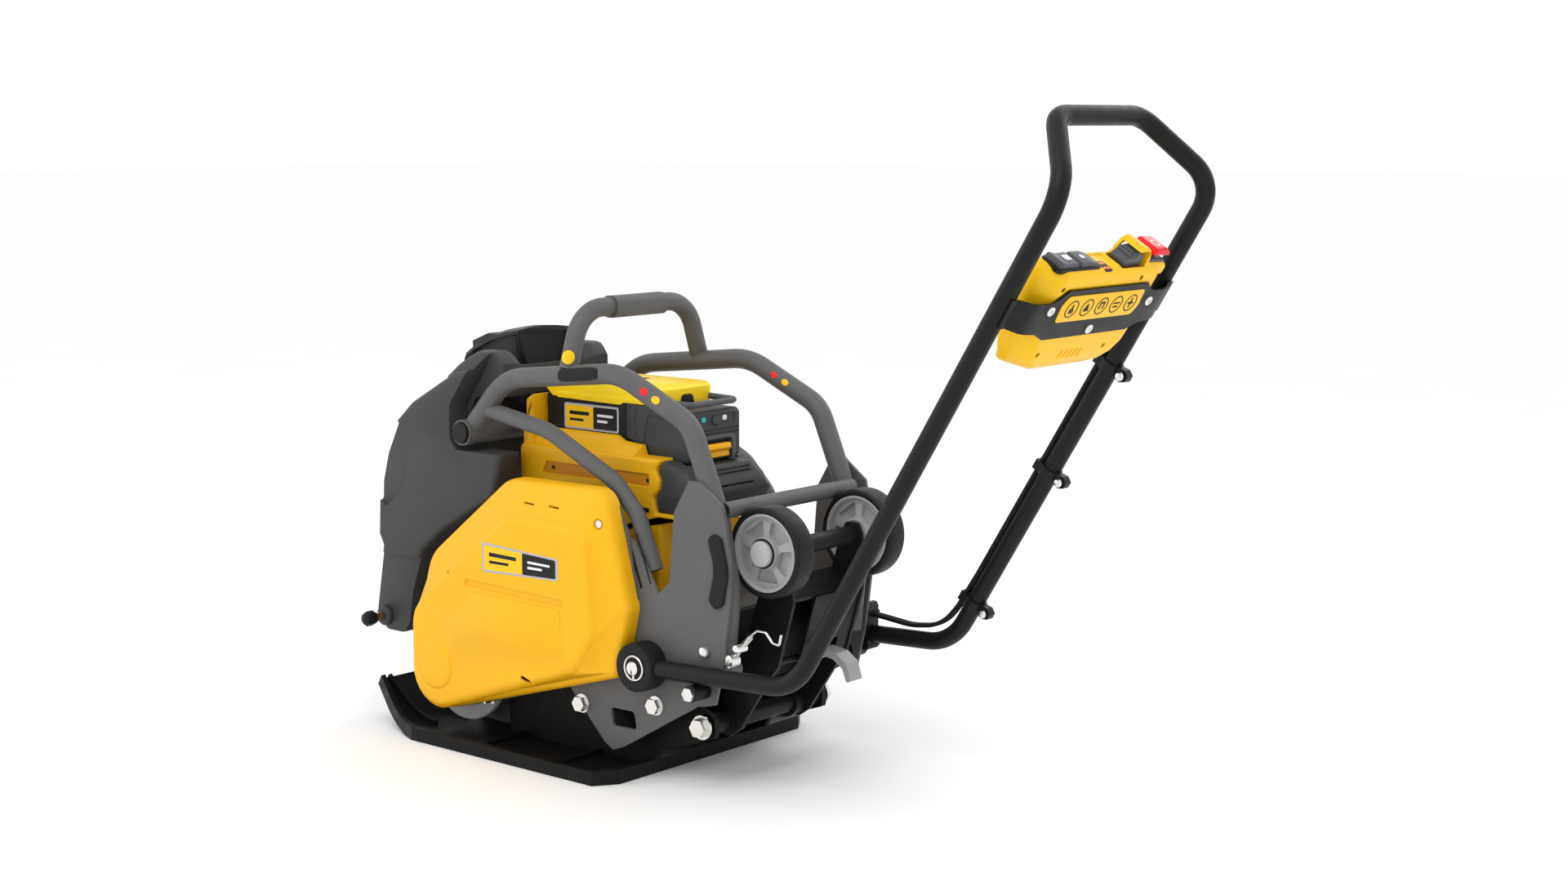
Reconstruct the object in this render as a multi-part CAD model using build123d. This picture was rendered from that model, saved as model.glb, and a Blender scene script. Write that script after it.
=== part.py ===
from build123d import *
import math
import os

# A battery-powered forward plate compactor. Millimetres, +Z up. The machine works forwards, along -X;
# the operator stands at +X. The origin is the centre of the plate's flat sole, and y = 0 is the plane
# that halves the machine. Lists of (x, z) pairs are side outlines; "left" is -Y, the belt side.

# ---- driving dimensions -------------------------------------------------------------------------
PLATE_HALF = 250.0  # half the plate's width
PLATE_T = 11.0  # thickness of the plate casting
PLATE_REAR = 268.0
PLATE_FLAT_FRONT = -170.0  # where the sole starts to curve upwards
PLATE_NOSE_R = 155.0  # radius of the upturned nose
PLATE_NOSE_DEG = 40.0
PLATE_NOSE_RUN = 46.0  # straight run after the nose's curve

EXCITER = (-135.0, 112.0)  # exciter shaft axis (x, z)
MOTOR = (140.0, 318.0)  # motor shaft axis
HANDLE_PIVOT = (295.0, 185.0)
CARRIAGE_PIVOT = (372.0, 92.0)
WHEEL_AXLE = (485.0, 373.0)
PEDAL_PIVOT = (460.0, 193.0)
STOP_TUBE = (407.0, 162.1)
FRONT_TUBE = (-123.0, 505.0)
REAR_TUBE = (428.0, 434.0)
MOUNT_BOLTS = ((149.0, 100.0), (307.0, 122.0))

RAIL_Y = 152.0
RAIL_R = 16.0
BRACE_R = 13.0
SIDE_IN = 168.0  # inner face of the side plates
SIDE_OUT = 173.0
WALL_IN = 124.0  # the plate casting's upright walls
WALL_OUT = 134.0
STOP_TUBE_R = 13.0

BELT_Y = -191.0  # middle plane of the belt
BELT_W = 10.0
BELT_T = 8.0
EXCITER_PULLEY_R = 40.0
MOTOR_PULLEY_R = 56.0
PULLEY_W = 18.0
COVER_BACK = -173.0
COVER_FLANGE = -176.0
COVER_FACE = -226.0

EXCITER_SHAFT_R = 20.0
MOTOR_SHAFT_R = 12.0
RUN = 0.05  # radial clearance of a running fit

HANDLE_Y = 193.0
HANDLE_R = 14.0
HANDLE_BEND = (597.0, 197.0)
HANDLE_ELBOW = (1042.0, 919.0)
HANDLE_TOP = (971.0, 1014.0)
HANDLE_TOP_Y = 106.0

PIVOT_TUBE_R = 15.0  # the carriage turns on this tube
WHEEL_IN, WHEEL_OUT = 90.0, 130.0
TYRE_R = 69.0
HUB_R = 59.0
AXLE_R = 10.0

BATTERY_X0, BATTERY_X1 = -43.0, 216.0
BATTERY_Z0 = 476.5
BATTERY_HALF = 60.0
HOUSING_HALF = 95.0

nodes = {}


# ---- helpers ------------------------------------------------------------------------------------
def xz_face(points, radius=0.0):
    """A closed side outline as a face in the XZ plane, its corners rounded by radius."""
    line = FilletPolyline(*points, radius=radius, close=True) if radius else Polyline(*points, close=True)
    return make_face(line)


def slab_of(face, y0, y1):
    """An XZ face thickened from y0 to y1."""
    return extrude(Plane((0, y1, 0), x_dir=(1, 0, 0), z_dir=(0, -1, 0)) * face, y1 - y0)


def slab(points, y0, y1, radius=0.0):
    return slab_of(xz_face(points, radius), y0, y1)


def box(x0, x1, y0, y1, z0, z1):
    return Pos((x0 + x1) / 2, (y0 + y1) / 2, (z0 + z1) / 2) * Box(x1 - x0, y1 - y0, z1 - z0)


def pin(at, r, y0, y1):
    """A cylinder along Y through the point at = (x, z)."""
    return Pos(at[0], (y0 + y1) / 2, at[1]) * Rot(X=90) * Cylinder(r, y1 - y0)


def ring(at, r_in, r_out, y0, y1):
    return pin(at, r_out, y0, y1) - pin(at, r_in, y0, y1)


def hexagon(at, across, y0, y1):
    """A hexagonal bolt head with its axis along Y."""
    face = RegularPolygon(across / 2, 6, major_radius=False)
    return slab_of(Pos(at[0], at[1]) * face, y0, y1)


def tube(points, r, bend, wall=0.0):
    """A round tube along a path of straight runs and tangent bends; solid when wall is 0."""
    path = FilletPolyline(*points, radius=bend) if len(points) > 2 else Line(*points)
    section = Circle(r) - Circle(r - wall) if wall else Circle(r)
    return sweep(Plane(origin=path @ 0, z_dir=path % 0) * section, path=path)


def both(part):
    """The part together with its mirror image across y = 0."""
    return Part() + [part, mirror(part, about=Plane.XZ)]


def right_of(part):
    return mirror(part, about=Plane.XZ)


def at_xz(points, y):
    return [(x, y, z) for x, z in points]


# ---- compaction plate ---------------------------------------------------------------------------
def sole_profile(thickness):
    """Side profile of the plate: flat sole, curved nose, then a short straight run."""
    bottom = Line((PLATE_REAR, 0), (PLATE_FLAT_FRONT, 0))
    nose = JernArc(bottom @ 1, bottom % 1, PLATE_NOSE_R, -PLATE_NOSE_DEG)
    run = Line(nose @ 1, (nose @ 1) + (nose % 1) * PLATE_NOSE_RUN)
    top = Line((PLATE_REAR, thickness), (PLATE_FLAT_FRONT, thickness))
    top_nose = JernArc(top @ 1, top % 1, PLATE_NOSE_R - thickness, -PLATE_NOSE_DEG)
    top_run = Line(top_nose @ 1, (top_nose @ 1) + (top_nose % 1) * PLATE_NOSE_RUN)
    ends = [Line(run @ 1, top_run @ 1), Line(bottom @ 0, top @ 0)]
    return make_face([bottom, nose, run, top, top_nose, top_run] + ends)


def plan(inset):
    """Plan outline of the plate with chamfered corners, inset by a margin, as a tall prism."""
    half = PLATE_HALF - inset
    corners = [(-172, half), (-330, half - 52), (-330, 52 - half), (-172, -half),
               (PLATE_REAR - 26 - inset / 2, -half), (PLATE_REAR - inset, 36 - half),
               (PLATE_REAR - inset, half - 36), (PLATE_REAR - 26 - inset / 2, half)]
    return extrude(make_face(Polyline(*corners, close=True)), 200)


def base_plate():
    floor = slab_of(sole_profile(PLATE_T), -PLATE_HALF, PLATE_HALF) & plan(0)
    rim = slab_of(sole_profile(22), -PLATE_HALF, PLATE_HALF) & (plan(0) - plan(9))
    stiffeners = slab_of(sole_profile(20), -PLATE_HALF, PLATE_HALF)
    nose_ribs = [box(-310, -178, y - 3, y + 3, 0, 200) for y in (-190, -115, -40, 40, 115, 190)]
    cross_ribs = [box(x - 3, x + 3, -245, 245, 0, 200) for x in (-20, 150)]
    ribs = stiffeners & (Part() + nose_ribs) & plan(4)
    low_ribs = slab_of(sole_profile(18), -PLATE_HALF, PLATE_HALF) & (Part() + cross_ribs) & plan(4)
    wall = slab([(-60, 5), (-60, 72), (-18, 128), (60, 144), (322, 144), (350, 124), (392, 108),
                 (392, 76), (352, 62), (282, 40), (256, 5)], WALL_IN, WALL_OUT, 6)
    walls = both(wall)
    plate = floor + rim + ribs + low_ribs + walls
    return plate - pin(CARRIAGE_PIVOT, PIVOT_TUBE_R, -200, 200)


# ---- exciter ------------------------------------------------------------------------------------
BEARING_R = 45.0
HOUSING_R = 75.0
HOUSING_Y = 112.0


def exciter_housing():
    barrel = pin(EXCITER, HOUSING_R, -HOUSING_Y, HOUSING_Y)
    bands = [ring(EXCITER, HOUSING_R - 5, HOUSING_R + 4, y - 5, y + 5) for y in (-60, 0, 60)]
    foot = box(-168, -58, -HOUSING_Y + 12, HOUSING_Y - 12, PLATE_T, 70)
    return (barrel + foot + bands) - pin(EXCITER, BEARING_R, -200, 200)


def exciter_bearings():
    return both(ring(EXCITER, EXCITER_SHAFT_R + RUN, BEARING_R, 84, 107))


def cap_bolt_places():
    angles = [math.radians(30 + 60 * k) for k in range(6)]
    return [(EXCITER[0] + 60 * math.cos(a), EXCITER[1] + 60 * math.sin(a)) for a in angles]


def exciter_caps():
    flange = ring(EXCITER, EXCITER_SHAFT_R + 2, 70, HOUSING_Y, HOUSING_Y + 9)
    spigot = ring(EXCITER, EXCITER_SHAFT_R + 2, BEARING_R, 107, HOUSING_Y)
    open_cap = right_of(flange + spigot)
    blind_cap = flange + spigot + pin(EXCITER, EXCITER_SHAFT_R + 2, HOUSING_Y + 3, HOUSING_Y + 9)
    return Part() + [open_cap, blind_cap]


def exciter_cap_bolts():
    bolts = []
    for place in cap_bolt_places():
        bolt = hexagon(place, 13, HOUSING_Y + 9, HOUSING_Y + 15) + pin(place, 4, 96, HOUSING_Y + 10)
        bolts += [bolt, right_of(bolt)]
    return Part() + bolts


def exciter_shaft():
    """Shaft with the eccentric weight, which hangs below the axis at rest."""
    shaft = pin(EXCITER, EXCITER_SHAFT_R, BELT_Y - PULLEY_W / 2, 106)
    weight = pin(EXCITER, BEARING_R - 1, -78, 78) - box(-250, 0, -90, 90, EXCITER[1] - 4, 250)
    return shaft + weight


def pulley(at, rim_r, bore_r):
    """A V-pulley centred on the belt's plane; its groove is a little wider than the belt."""
    root = rim_r - BELT_T - 2.3
    half, groove_top, groove_root = PULLEY_W / 2, BELT_W / 2 + 2, BELT_W / 2 + 0.3
    section = Polyline((bore_r, -half), (rim_r, -half), (rim_r, -groove_top), (root, -groove_root),
                       (root, groove_root), (rim_r, groove_top), (rim_r, half), (bore_r, half), close=True)
    return Pos(at[0], BELT_Y, at[1]) * revolve(make_face(section), Axis.Y)


def belt_loop(shrink):
    circles = [Pos(*EXCITER) * Circle(EXCITER_PULLEY_R - 2 - shrink),
               Pos(*MOTOR) * Circle(MOTOR_PULLEY_R - 2 - shrink)]
    return make_hull([edge for circle in circles for edge in circle.edges()])


def drive_belt():
    return slab_of(belt_loop(0) - belt_loop(BELT_T), BELT_Y - BELT_W / 2, BELT_Y + BELT_W / 2)


# ---- motor --------------------------------------------------------------------------------------
MOTOR_R = 62.0
STATOR_BORE = 50.0
DECK_Z0, DECK_Z1 = 244.0, 250.0


def motor_housing():
    shell = pin(MOTOR, MOTOR_R, -86, 80) - pin(MOTOR, STATOR_BORE, -78, 72)
    foot = box(85, 195, -70, 65, DECK_Z1, 275) - pin(MOTOR, STATOR_BORE, -90, 90)
    return (shell + foot) - pin(MOTOR, MOTOR_SHAFT_R + RUN, -90, 90)


def motor_rotor():
    core = pin(MOTOR, STATOR_BORE - 1, -66, 60)
    return pin(MOTOR, MOTOR_SHAFT_R, BELT_Y - PULLEY_W / 2, 80) + core


# ---- belt cover ---------------------------------------------------------------------------------
COVER_OUTLINE = [(-204, 130), (-203, 220), (-192, 262), (-160, 312), (-90, 368), (-30, 415), (22, 444),
                 (183, 449), (232, 432), (254, 385), (273, 285), (270, 245), (246, 166), (222, 152), (-96, 58),
                 (-140, 50), (-176, 62), (-198, 92)]
COVER_PLATEAU = [(-196, 130), (-192, 212), (-178, 234), (-150, 254), (-90, 304), (-30, 355), (22, 388),
                 (172, 390), (202, 376), (212, 350), (216, 262), (212, 232), (176, 174), (150, 158), (-96, 76),
                 (-136, 64), (-170, 72), (-190, 98)]


def cover_face(points, inset):
    return offset(make_face(Polyline(*points, close=True)), amount=-inset, kind=Kind.INTERSECTION)


COVER_SHOULDER = -203.0  # where the side wall ends and the face's slopes begin
# Screws from behind, through the back plate into bosses, and one from the front, set in a deep recess.
BACK_SCREWS = [(-186, 160), (-160, 290), (-60, 70), (10, 434)]
FRONT_SCREW = (222, 398)
RECESS_FLOOR = -205.0


def cover_bulk(skin):
    """The cover's outer shape, shrunk by skin on every side but the open back."""
    low = Plane((0, COVER_SHOULDER, 0), x_dir=(1, 0, 0), z_dir=(0, -1, 0)) * cover_face(COVER_OUTLINE, skin)
    high = Plane((0, COVER_FACE + skin, 0), x_dir=(1, 0, 0), z_dir=(0, -1, 0)) * cover_face(COVER_PLATEAU, skin)
    return slab_of(cover_face(COVER_OUTLINE, skin), COVER_SHOULDER, COVER_FLANGE) + loft([low, high], ruled=True)


def belt_cover():
    bump = pin((-140, 126), 37, COVER_FACE - 5, COVER_FACE)
    shell = (cover_bulk(0) + bump) - cover_bulk(4)
    bosses = [pin(at, 6, -196, COVER_FLANGE) for at in BACK_SCREWS] + [pin(FRONT_SCREW, 9, -212, COVER_FLANGE)]
    bosses = (Part() + bosses) & cover_bulk(0)
    return shell + bosses - pin(FRONT_SCREW, 7, -240, RECESS_FLOOR)


def cover_screws():
    front = pin(FRONT_SCREW, 6, RECESS_FLOOR - 3, RECESS_FLOOR) + pin(FRONT_SCREW, 2.5, RECESS_FLOOR, COVER_BACK)
    back = [pin(at, 5.5, COVER_BACK, COVER_BACK + 2.5) + pin(at, 2.5, -190, COVER_BACK) for at in BACK_SCREWS]
    return Part() + [front] + back


def belt_back_plate():
    plate = slab(COVER_OUTLINE, COVER_FLANGE, COVER_BACK)
    return plate - pin(EXCITER, EXCITER_SHAFT_R + 5, -180, -170) - pin(MOTOR, MOTOR_SHAFT_R + 5, -180, -170)


# ---- frame --------------------------------------------------------------------------------------
RAIL = [(-126, 503), (-38, 598), (215, 624), (362, 557), (417, 428), (441, 310), (429, 205)]
RAIL_BENDS = [110, 120, 60, 150, 150]
BRACE = [(-80, 545), (60, 522), (205, 455), (252, 408), (288, 326)]
BRACE_BENDS = [150, 60, 60]
SIDE_OUTLINE = [(134, 108), (60, 190), (36, 258), (60, 300), (233, 380), (262, 374), (291, 330), (313, 296),
                (337, 318), (346, 425), (377, 476), (400, 476), (443, 444), (460, 362), (458, 311),
                (444, 208), (428, 142), (414, 138), (392, 134), (236, 44), (214, 36), (196, 46)]
SLOT = [(210, 104), (260, 104), (266, 76), (214, 75)]
BAIL_X = 105.0
BAIL_TOP = 715.0
BAIL_R = 15.0


def rail(side, wall=0.0):
    return tube(at_xz(RAIL, side * RAIL_Y), RAIL_R, RAIL_BENDS, wall)


def brace(side, wall=0.0):
    return tube(at_xz(BRACE, side * RAIL_Y), BRACE_R, BRACE_BENDS, wall)


def front_tube(r):
    return pin(FRONT_TUBE, r, -172, 172)


def side_plate():
    plate = slab(SIDE_OUTLINE, SIDE_IN, SIDE_OUT)
    shaft_hole = pin(MOTOR, MOTOR_SHAFT_R + 12, 100, 250)
    return plate - slab(SLOT, SIDE_IN, SIDE_OUT, 6) - pin(STOP_TUBE, STOP_TUBE_R, 100, 250) - shaft_hole


def stop_tubes():
    stub = ring(STOP_TUBE, STOP_TUBE_R - 3, STOP_TUBE_R, 158, 202)
    end_cap = pin(STOP_TUBE, STOP_TUBE_R, 202, 206)
    return both(stub + end_cap)


def lifting_bail():
    points = [(BAIL_X, -RAIL_Y, 622), (BAIL_X, -122, BAIL_TOP), (BAIL_X, 122, BAIL_TOP), (BAIL_X, RAIL_Y, 622)]
    return tube(points, BAIL_R, 62, 2.5) - rail(-1) - rail(1)


def lifting_grip():
    sleeve = box(BAIL_X - 18, BAIL_X + 18, -58, 58, BAIL_TOP - 18, BAIL_TOP + 17)
    sleeve = fillet(sleeve.edges().filter_by(Axis.Y), 14)
    notches = [box(BAIL_X - 20, BAIL_X + 20, y - 3, y + 3, BAIL_TOP - 20, BAIL_TOP - 16) for y in (-36, -12, 12, 36)]
    core = Pos(BAIL_X, 0, BAIL_TOP) * Rot(X=90) * Cylinder(BAIL_R, 200)
    return sleeve - notches - core


def frame_pads():
    rail_pad = slab([(98, 600), (103, 624), (184, 627), (190, 603)], RAIL_Y + 6, RAIL_Y + RAIL_R + 9, 8) - rail(1)
    plate_pad = slab([(412, 392), (420, 410), (438, 410), (446, 396), (455, 348), (443, 294), (430, 283),
                      (416, 292), (425, 345)], SIDE_OUT, SIDE_OUT + 5.5, 6)
    return Part() + [rail_pad, plate_pad, right_of(rail_pad), right_of(plate_pad)]


def rubber_mounts():
    mount = Part() + [ring(at, 6, 20, WALL_OUT, SIDE_IN) for at in MOUNT_BOLTS]
    return both(mount)


def mount_bolts():
    bolts = []
    for at in MOUNT_BOLTS:
        washer = pin(at, 15, SIDE_OUT, SIDE_OUT + 2)
        head = hexagon(at, 22, SIDE_OUT + 2, SIDE_OUT + 12)
        bolts += [washer + head + pin(at, 6, WALL_IN - 10, SIDE_OUT) + hexagon(at, 19, WALL_IN - 10, WALL_IN)]
    pivot_bolt = pin(CARRIAGE_PIVOT, 19, 140, 143) + hexagon(CARRIAGE_PIVOT, 26, 143, 154)
    stop_bolt = hexagon(STOP_TUBE, 19, 206, 213)
    return both(Part() + bolts + [pivot_bolt, stop_bolt])


def deck_plate():
    deck = box(44, 330, -SIDE_IN, SIDE_IN, DECK_Z0, DECK_Z1)
    lips = [box(60, 320, -SIDE_IN, 4 - SIDE_IN, 214, DECK_Z0), box(60, 320, SIDE_IN - 4, SIDE_IN, 214, DECK_Z0)]
    return deck + lips


# ---- handle pivots ------------------------------------------------------------------------------
EYE_IN, EYE_OUT = 175.5, 209.0


def handle_pivot_bolts():
    bolt = pin(HANDLE_PIVOT, 10, 156, EYE_OUT + 1) + hexagon(HANDLE_PIVOT, 26, 156, SIDE_IN)
    cap = pin(HANDLE_PIVOT, 24, EYE_OUT + 1, EYE_OUT + 4) + pin(HANDLE_PIVOT, 14, EYE_OUT + 4, EYE_OUT + 9)
    slot = box(HANDLE_PIVOT[0] - 12, HANDLE_PIVOT[0] + 12, EYE_OUT + 6, EYE_OUT + 10,
               HANDLE_PIVOT[1] - 1.5, HANDLE_PIVOT[1] + 1.5)
    return both(bolt + cap - slot)


def handle_bushings():
    return both(ring(HANDLE_PIVOT, 10 + RUN, 31, EYE_IN, EYE_OUT))


# ---- handle -------------------------------------------------------------------------------------
HANDLE_PATH = [(*HANDLE_PIVOT, HANDLE_Y), (*HANDLE_BEND, HANDLE_Y), (*HANDLE_ELBOW, HANDLE_Y),
               (*HANDLE_TOP, HANDLE_TOP_Y)]
HANDLE_BENDS = [85, 60, 48, 48, 60, 85]


def handle_tube(wall=0.0):
    left = [(x, -y, z) for x, z, y in HANDLE_PATH]
    right = [(x, y, z) for x, z, y in reversed(HANDLE_PATH)]
    return tube(left + right, HANDLE_R, HANDLE_BENDS, wall)


def handle_frame():
    eyes = both(ring(HANDLE_PIVOT, 31, 37, EYE_IN, EYE_OUT))
    room = both(pin(HANDLE_PIVOT, 31, EYE_IN - 3, EYE_OUT + 3))
    return (handle_tube(2.5) - room) + eyes


# The console hangs between the two uprights. Its own frame: s runs up the tubes from the lower bend, y
# across, and n away from the tubes' plane towards the operator.
TILT = math.degrees(math.atan2(HANDLE_ELBOW[1] - HANDLE_BEND[1], HANDLE_ELBOW[0] - HANDLE_BEND[0]))
CONSOLE = Plane(origin=(HANDLE_BEND[0], 0, HANDLE_BEND[1]), x_dir=(0, 1, 0),
                z_dir=(math.cos(math.radians(TILT)), 0, math.sin(math.radians(TILT))))


def console_box(y0, y1, n0, n1, s0, s1):
    """A box in the console's frame: across y0..y1, operator side n0..n1, up the tubes s0..s1."""
    return CONSOLE * box(y0, y1, -n1, -n0, s0, s1)


def console_slab(points, y0, y1, radius=0.0):
    """A side outline in (n, s), thickened from y0 to y1."""
    line = FilletPolyline(*[(-n, s) for n, s in points], radius=radius, close=True)
    flat = extrude(Plane((y0, 0, 0), x_dir=(0, 1, 0), z_dir=(1, 0, 0)) * make_face(line), y1 - y0)
    return CONSOLE * flat


TOP_S, JOINT_S, LOW_S = 742.0, 622.0, 560.0
SHELL_HALF = 160.0


def console_top_shell():
    outer = console_slab([(28, JOINT_S), (28, TOP_S - 12), (16, TOP_S), (-22, TOP_S), (-28, TOP_S - 20),
                          (-28, JOINT_S)], -SHELL_HALF, SHELL_HALF, 7)
    inner = console_slab([(24, JOINT_S - 5), (24, TOP_S - 14), (14, TOP_S - 4), (-20, TOP_S - 4), (-24, TOP_S - 22),
                          (-24, JOINT_S - 5)], 4 - SHELL_HALF, SHELL_HALF - 4, 4)
    openings = [console_box(*place, TOP_S - 10, TOP_S + 10) for place in SWITCH_HOLES]
    lugs = [console_box(y - 3, y + 3, -12, -4, TOP_S - 12, TOP_S - 3) for y in (31, 73)]
    return outer - inner - openings + lugs + rocker_pin(1.5) + lever_pin(1.5)


def console_pin(r, y0, y1, n, s):
    """A hinge pin across the console at (n, s)."""
    return CONSOLE * (Pos((y0 + y1) / 2, -n, s) * Rot(Y=90) * Cylinder(r, y1 - y0))


def rocker_pin(r):
    return console_pin(r, -140, -90, 0, TOP_S - 3)


def lever_pin(r):
    return console_pin(r, 30, 74, -8, TOP_S - 8)


def console_bottom_shell():
    outer = console_slab([(28, JOINT_S), (28, LOW_S + 22), (14, LOW_S), (-16, LOW_S + 4), (-28, LOW_S + 22),
                          (-28, JOINT_S)], -150, 150, 7)
    inner = console_slab([(24, JOINT_S + 5), (24, LOW_S + 24), (12, LOW_S + 4), (-14, LOW_S + 8), (-24, LOW_S + 24),
                          (-24, JOINT_S + 5)], -146, 146, 4)
    return outer - inner


# Holes in the console's top: (y0, y1, n0, n1) of the rocker, the speed button, the lever and the stop.
SWITCH_HOLES = [(-138, -92, -14, 14), (-84, -52, -14, 14), (34, 70, -16, 12), (92, 134, -20, 16)]


def console_bracket():
    """Sheet bracket behind the console, its wings wrapped on to the uprights."""
    sheet = console_box(-176, 176, 28, 31, 598, 708)
    wings = both(console_box(176, HANDLE_Y + 10, 15, 31, 616, 700) - console_box(170, HANDLE_Y + 8, 10, 28, 600, 720))
    return (sheet + wings) - handle_tube()


CONSOLE_SCREWS = [(-123, 678), (123, 678), (0, 622)]


def console_screws():
    heads = [CONSOLE * (Pos(y, -32.5, s) * Rot(X=90) * Cylinder(7.5, 3)) for y, s in CONSOLE_SCREWS]
    shanks = [CONSOLE * (Pos(y, -27, s) * Rot(X=90) * Cylinder(3, 8)) for y, s in CONSOLE_SCREWS]
    return Part() + [head + shank for head, shank in zip(heads, shanks)]


def power_rocker():
    rocker = console_box(-137, -93, -13, 13, TOP_S - 16, TOP_S + 5) + console_box(-137, -116, -13, 13, TOP_S, TOP_S + 9)
    return rocker - rocker_pin(1.5 + RUN)


def speed_button():
    return console_box(-83, -53, -13, 13, TOP_S - 12, TOP_S + 8)


def start_lever():
    """Thumb lever on a cross pin just under the console's top."""
    stem = console_box(46, 58, -14, -2, TOP_S - 14, TOP_S + 22)
    return stem + console_box(38, 66, -15, -1, TOP_S + 20, TOP_S + 32) - lever_pin(1.5 + RUN)


def stop_button():
    stem = CONSOLE * (Pos(113, 2, TOP_S + 2) * Cylinder(9, 30))
    return stem + CONSOLE * (Pos(113, 2, TOP_S + 20) * Cylinder(20, 10))


def lever_guard():
    """Hoop over the thumb lever, with its feet on the console's top."""
    legs = [console_box(y - 2, y + 2, -20, 15, TOP_S, TOP_S + 42) for y in (30, 74)]
    top = console_box(28, 76, -20, 15, TOP_S + 38, TOP_S + 42) - console_box(36, 68, -14, 9, TOP_S + 30, TOP_S + 50)
    windows = console_box(20, 90, -14, 9, TOP_S + 8, TOP_S + 32)
    return (Part() + legs) - windows + top


# ---- control cable ------------------------------------------------------------------------------
CABLE_R = 3.5
CABLE_PITCH = 8.4  # the two leads lie side by side
CABLE_OFF = HANDLE_R + CABLE_R + 1.5  # cable axis behind the upright's axis, on its operator side
CLIP_S = (83.0, 339.0, 535.0)


def on_upright(s, n):
    """(x, z) of the point s up the upright and n towards the operator."""
    c, k = math.cos(math.radians(TILT)), math.sin(math.radians(TILT))
    return (HANDLE_BEND[0] + c * s + k * n, HANDLE_BEND[1] + k * s - c * n)


def control_cable():
    """Two leads from the console's lower shell, down the front of the right upright to the lower bar's clamp."""
    route = [(on_upright(604, -14), 147), (on_upright(590, -21), 172), (on_upright(545, -CABLE_OFF), HANDLE_Y),
             (on_upright(130, -CABLE_OFF), HANDLE_Y), (on_upright(62, -CABLE_OFF - 2), HANDLE_Y),
             ((580, 224), HANDLE_Y), ((520, 216), HANDLE_Y), ((460, 222), HANDLE_Y), ((424, 224), HANDLE_Y)]
    leads = []
    for shift in (-CABLE_PITCH / 2, CABLE_PITCH / 2):
        points = [(x, y + shift * (0 if k == 0 else 1), z + (shift if k == 0 else 0))
                  for k, ((x, z), y) in enumerate(route)]
        leads += [tube(points, CABLE_R, [26, 60, 60, 110, 80, 120, 150])]
    return Part() + leads


def cable_clips():
    """Clips round the upright and the leads, each with a bolt through its ears, and the ribbed end clamp."""
    clips = []
    for s in CLIP_S:
        band = CONSOLE * (Pos(HANDLE_Y, 0, s) * (Cylinder(HANDLE_R + 3, 16) - Cylinder(HANDLE_R, 16)))
        saddle = console_box(HANDLE_Y - 11, HANDLE_Y + 11, -CABLE_OFF - CABLE_R - 3, -10, s - 8, s + 8)
        saddle -= CONSOLE * (Pos(HANDLE_Y, 0, s) * Cylinder(HANDLE_R + 1, 20))
        ear = console_slab([(12, s - 8), (26, s - 10), (35, s - 4), (35, s + 6), (26, s + 11), (12, s + 8)],
                           HANDLE_Y - 7, HANDLE_Y + 7, 3)
        bolt = CONSOLE * (Pos(HANDLE_Y, -25, s) * Rot(Y=90) * Cylinder(5, 22))
        clips += [band + saddle + ear + bolt]
    clips += [end_clamp()]
    return Part() + clips - control_cable() - handle_tube()


def end_clamp():
    """Ribbed rubber clamp that holds the leads and the lower bar together."""
    body = slab([(424, 166), (424, 234), (430, 242), (438, 242), (442, 236), (442, 166)], 178, 206, 3)
    ribs = [box(422, 444, 176.5, 207.5, z - 2, z + 2) for z in (172, 182, 216, 226)]
    return body + ribs


# ---- battery ------------------------------------------------------------------------------------
def battery_case():
    block = box(BATTERY_X0, BATTERY_X1, -BATTERY_HALF, BATTERY_HALF, BATTERY_Z0, 566)
    block = fillet(block.edges().filter_by(Axis.Z), 8)
    module = box(BATTERY_X1 - 1, 277, -52, 52, BATTERY_Z0, 556) - box(270, 280, -30, 30, 480, 512)
    module -= pin_x(8.3, 262, 280, 0, 541)
    ring_handle = box(220, 274, -50, 50, 556, 571) - box(230, 264, -38, 38, 557, 580)
    return block + module + ring_handle


def pin_x(r, x0, x1, y, z):
    return Pos((x0 + x1) / 2, y, z) * Rot(Y=90) * Cylinder(r, x1 - x0)


def battery_cover():
    cap = box(BATTERY_X0 - 1, BATTERY_X1 - 8, -BATTERY_HALF - 1, BATTERY_HALF + 1, 566, 592)
    cap = fillet(cap.edges().filter_by(Axis.Z), 8)
    return chamfer(cap.faces().sort_by(Axis.Z)[-1].edges(), 5)


def battery_latch():
    return box(270.5, 284, -25, 25, 486, 500)


def charge_button():
    return pin_x(8, 264, 279, 0, 541)


# ---- power housing ------------------------------------------------------------------------------
def power_housing():
    outer = slab([(-8, DECK_Z1), (-8, 318), (-70, 372), (-70, 520), (-48, 562), (-46, 562), (-46, 492), (280, 492),
                  (280, DECK_Z1)], -HOUSING_HALF, HOUSING_HALF)
    outer = fillet(outer.edges().filter_by(Axis.Y).filter_by_position(Axis.Z, 515, 525), 30)
    pocket = box(-46, 290, -61, 61, 476, 600)
    room = slab([(-2, DECK_Z1 - 5), (-2, 324), (-64, 378), (-64, 468), (274, 468), (274, DECK_Z1 - 5)], -89, 89)
    return outer - pocket - room - pin(MOTOR, MOTOR_SHAFT_R + 4, -100, -80)


def battery_cradle():
    body = slab([(280, 475), (280, 374), (300, 374), (316, 394), (316, 420), (302, 434), (302, 450), (292, 458),
                 (292, 475)], -80, 80)
    scallops = [box(288, 320, y - 9, y + 9, 440, 480) for y in (-54, 54)]
    return body - scallops


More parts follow.
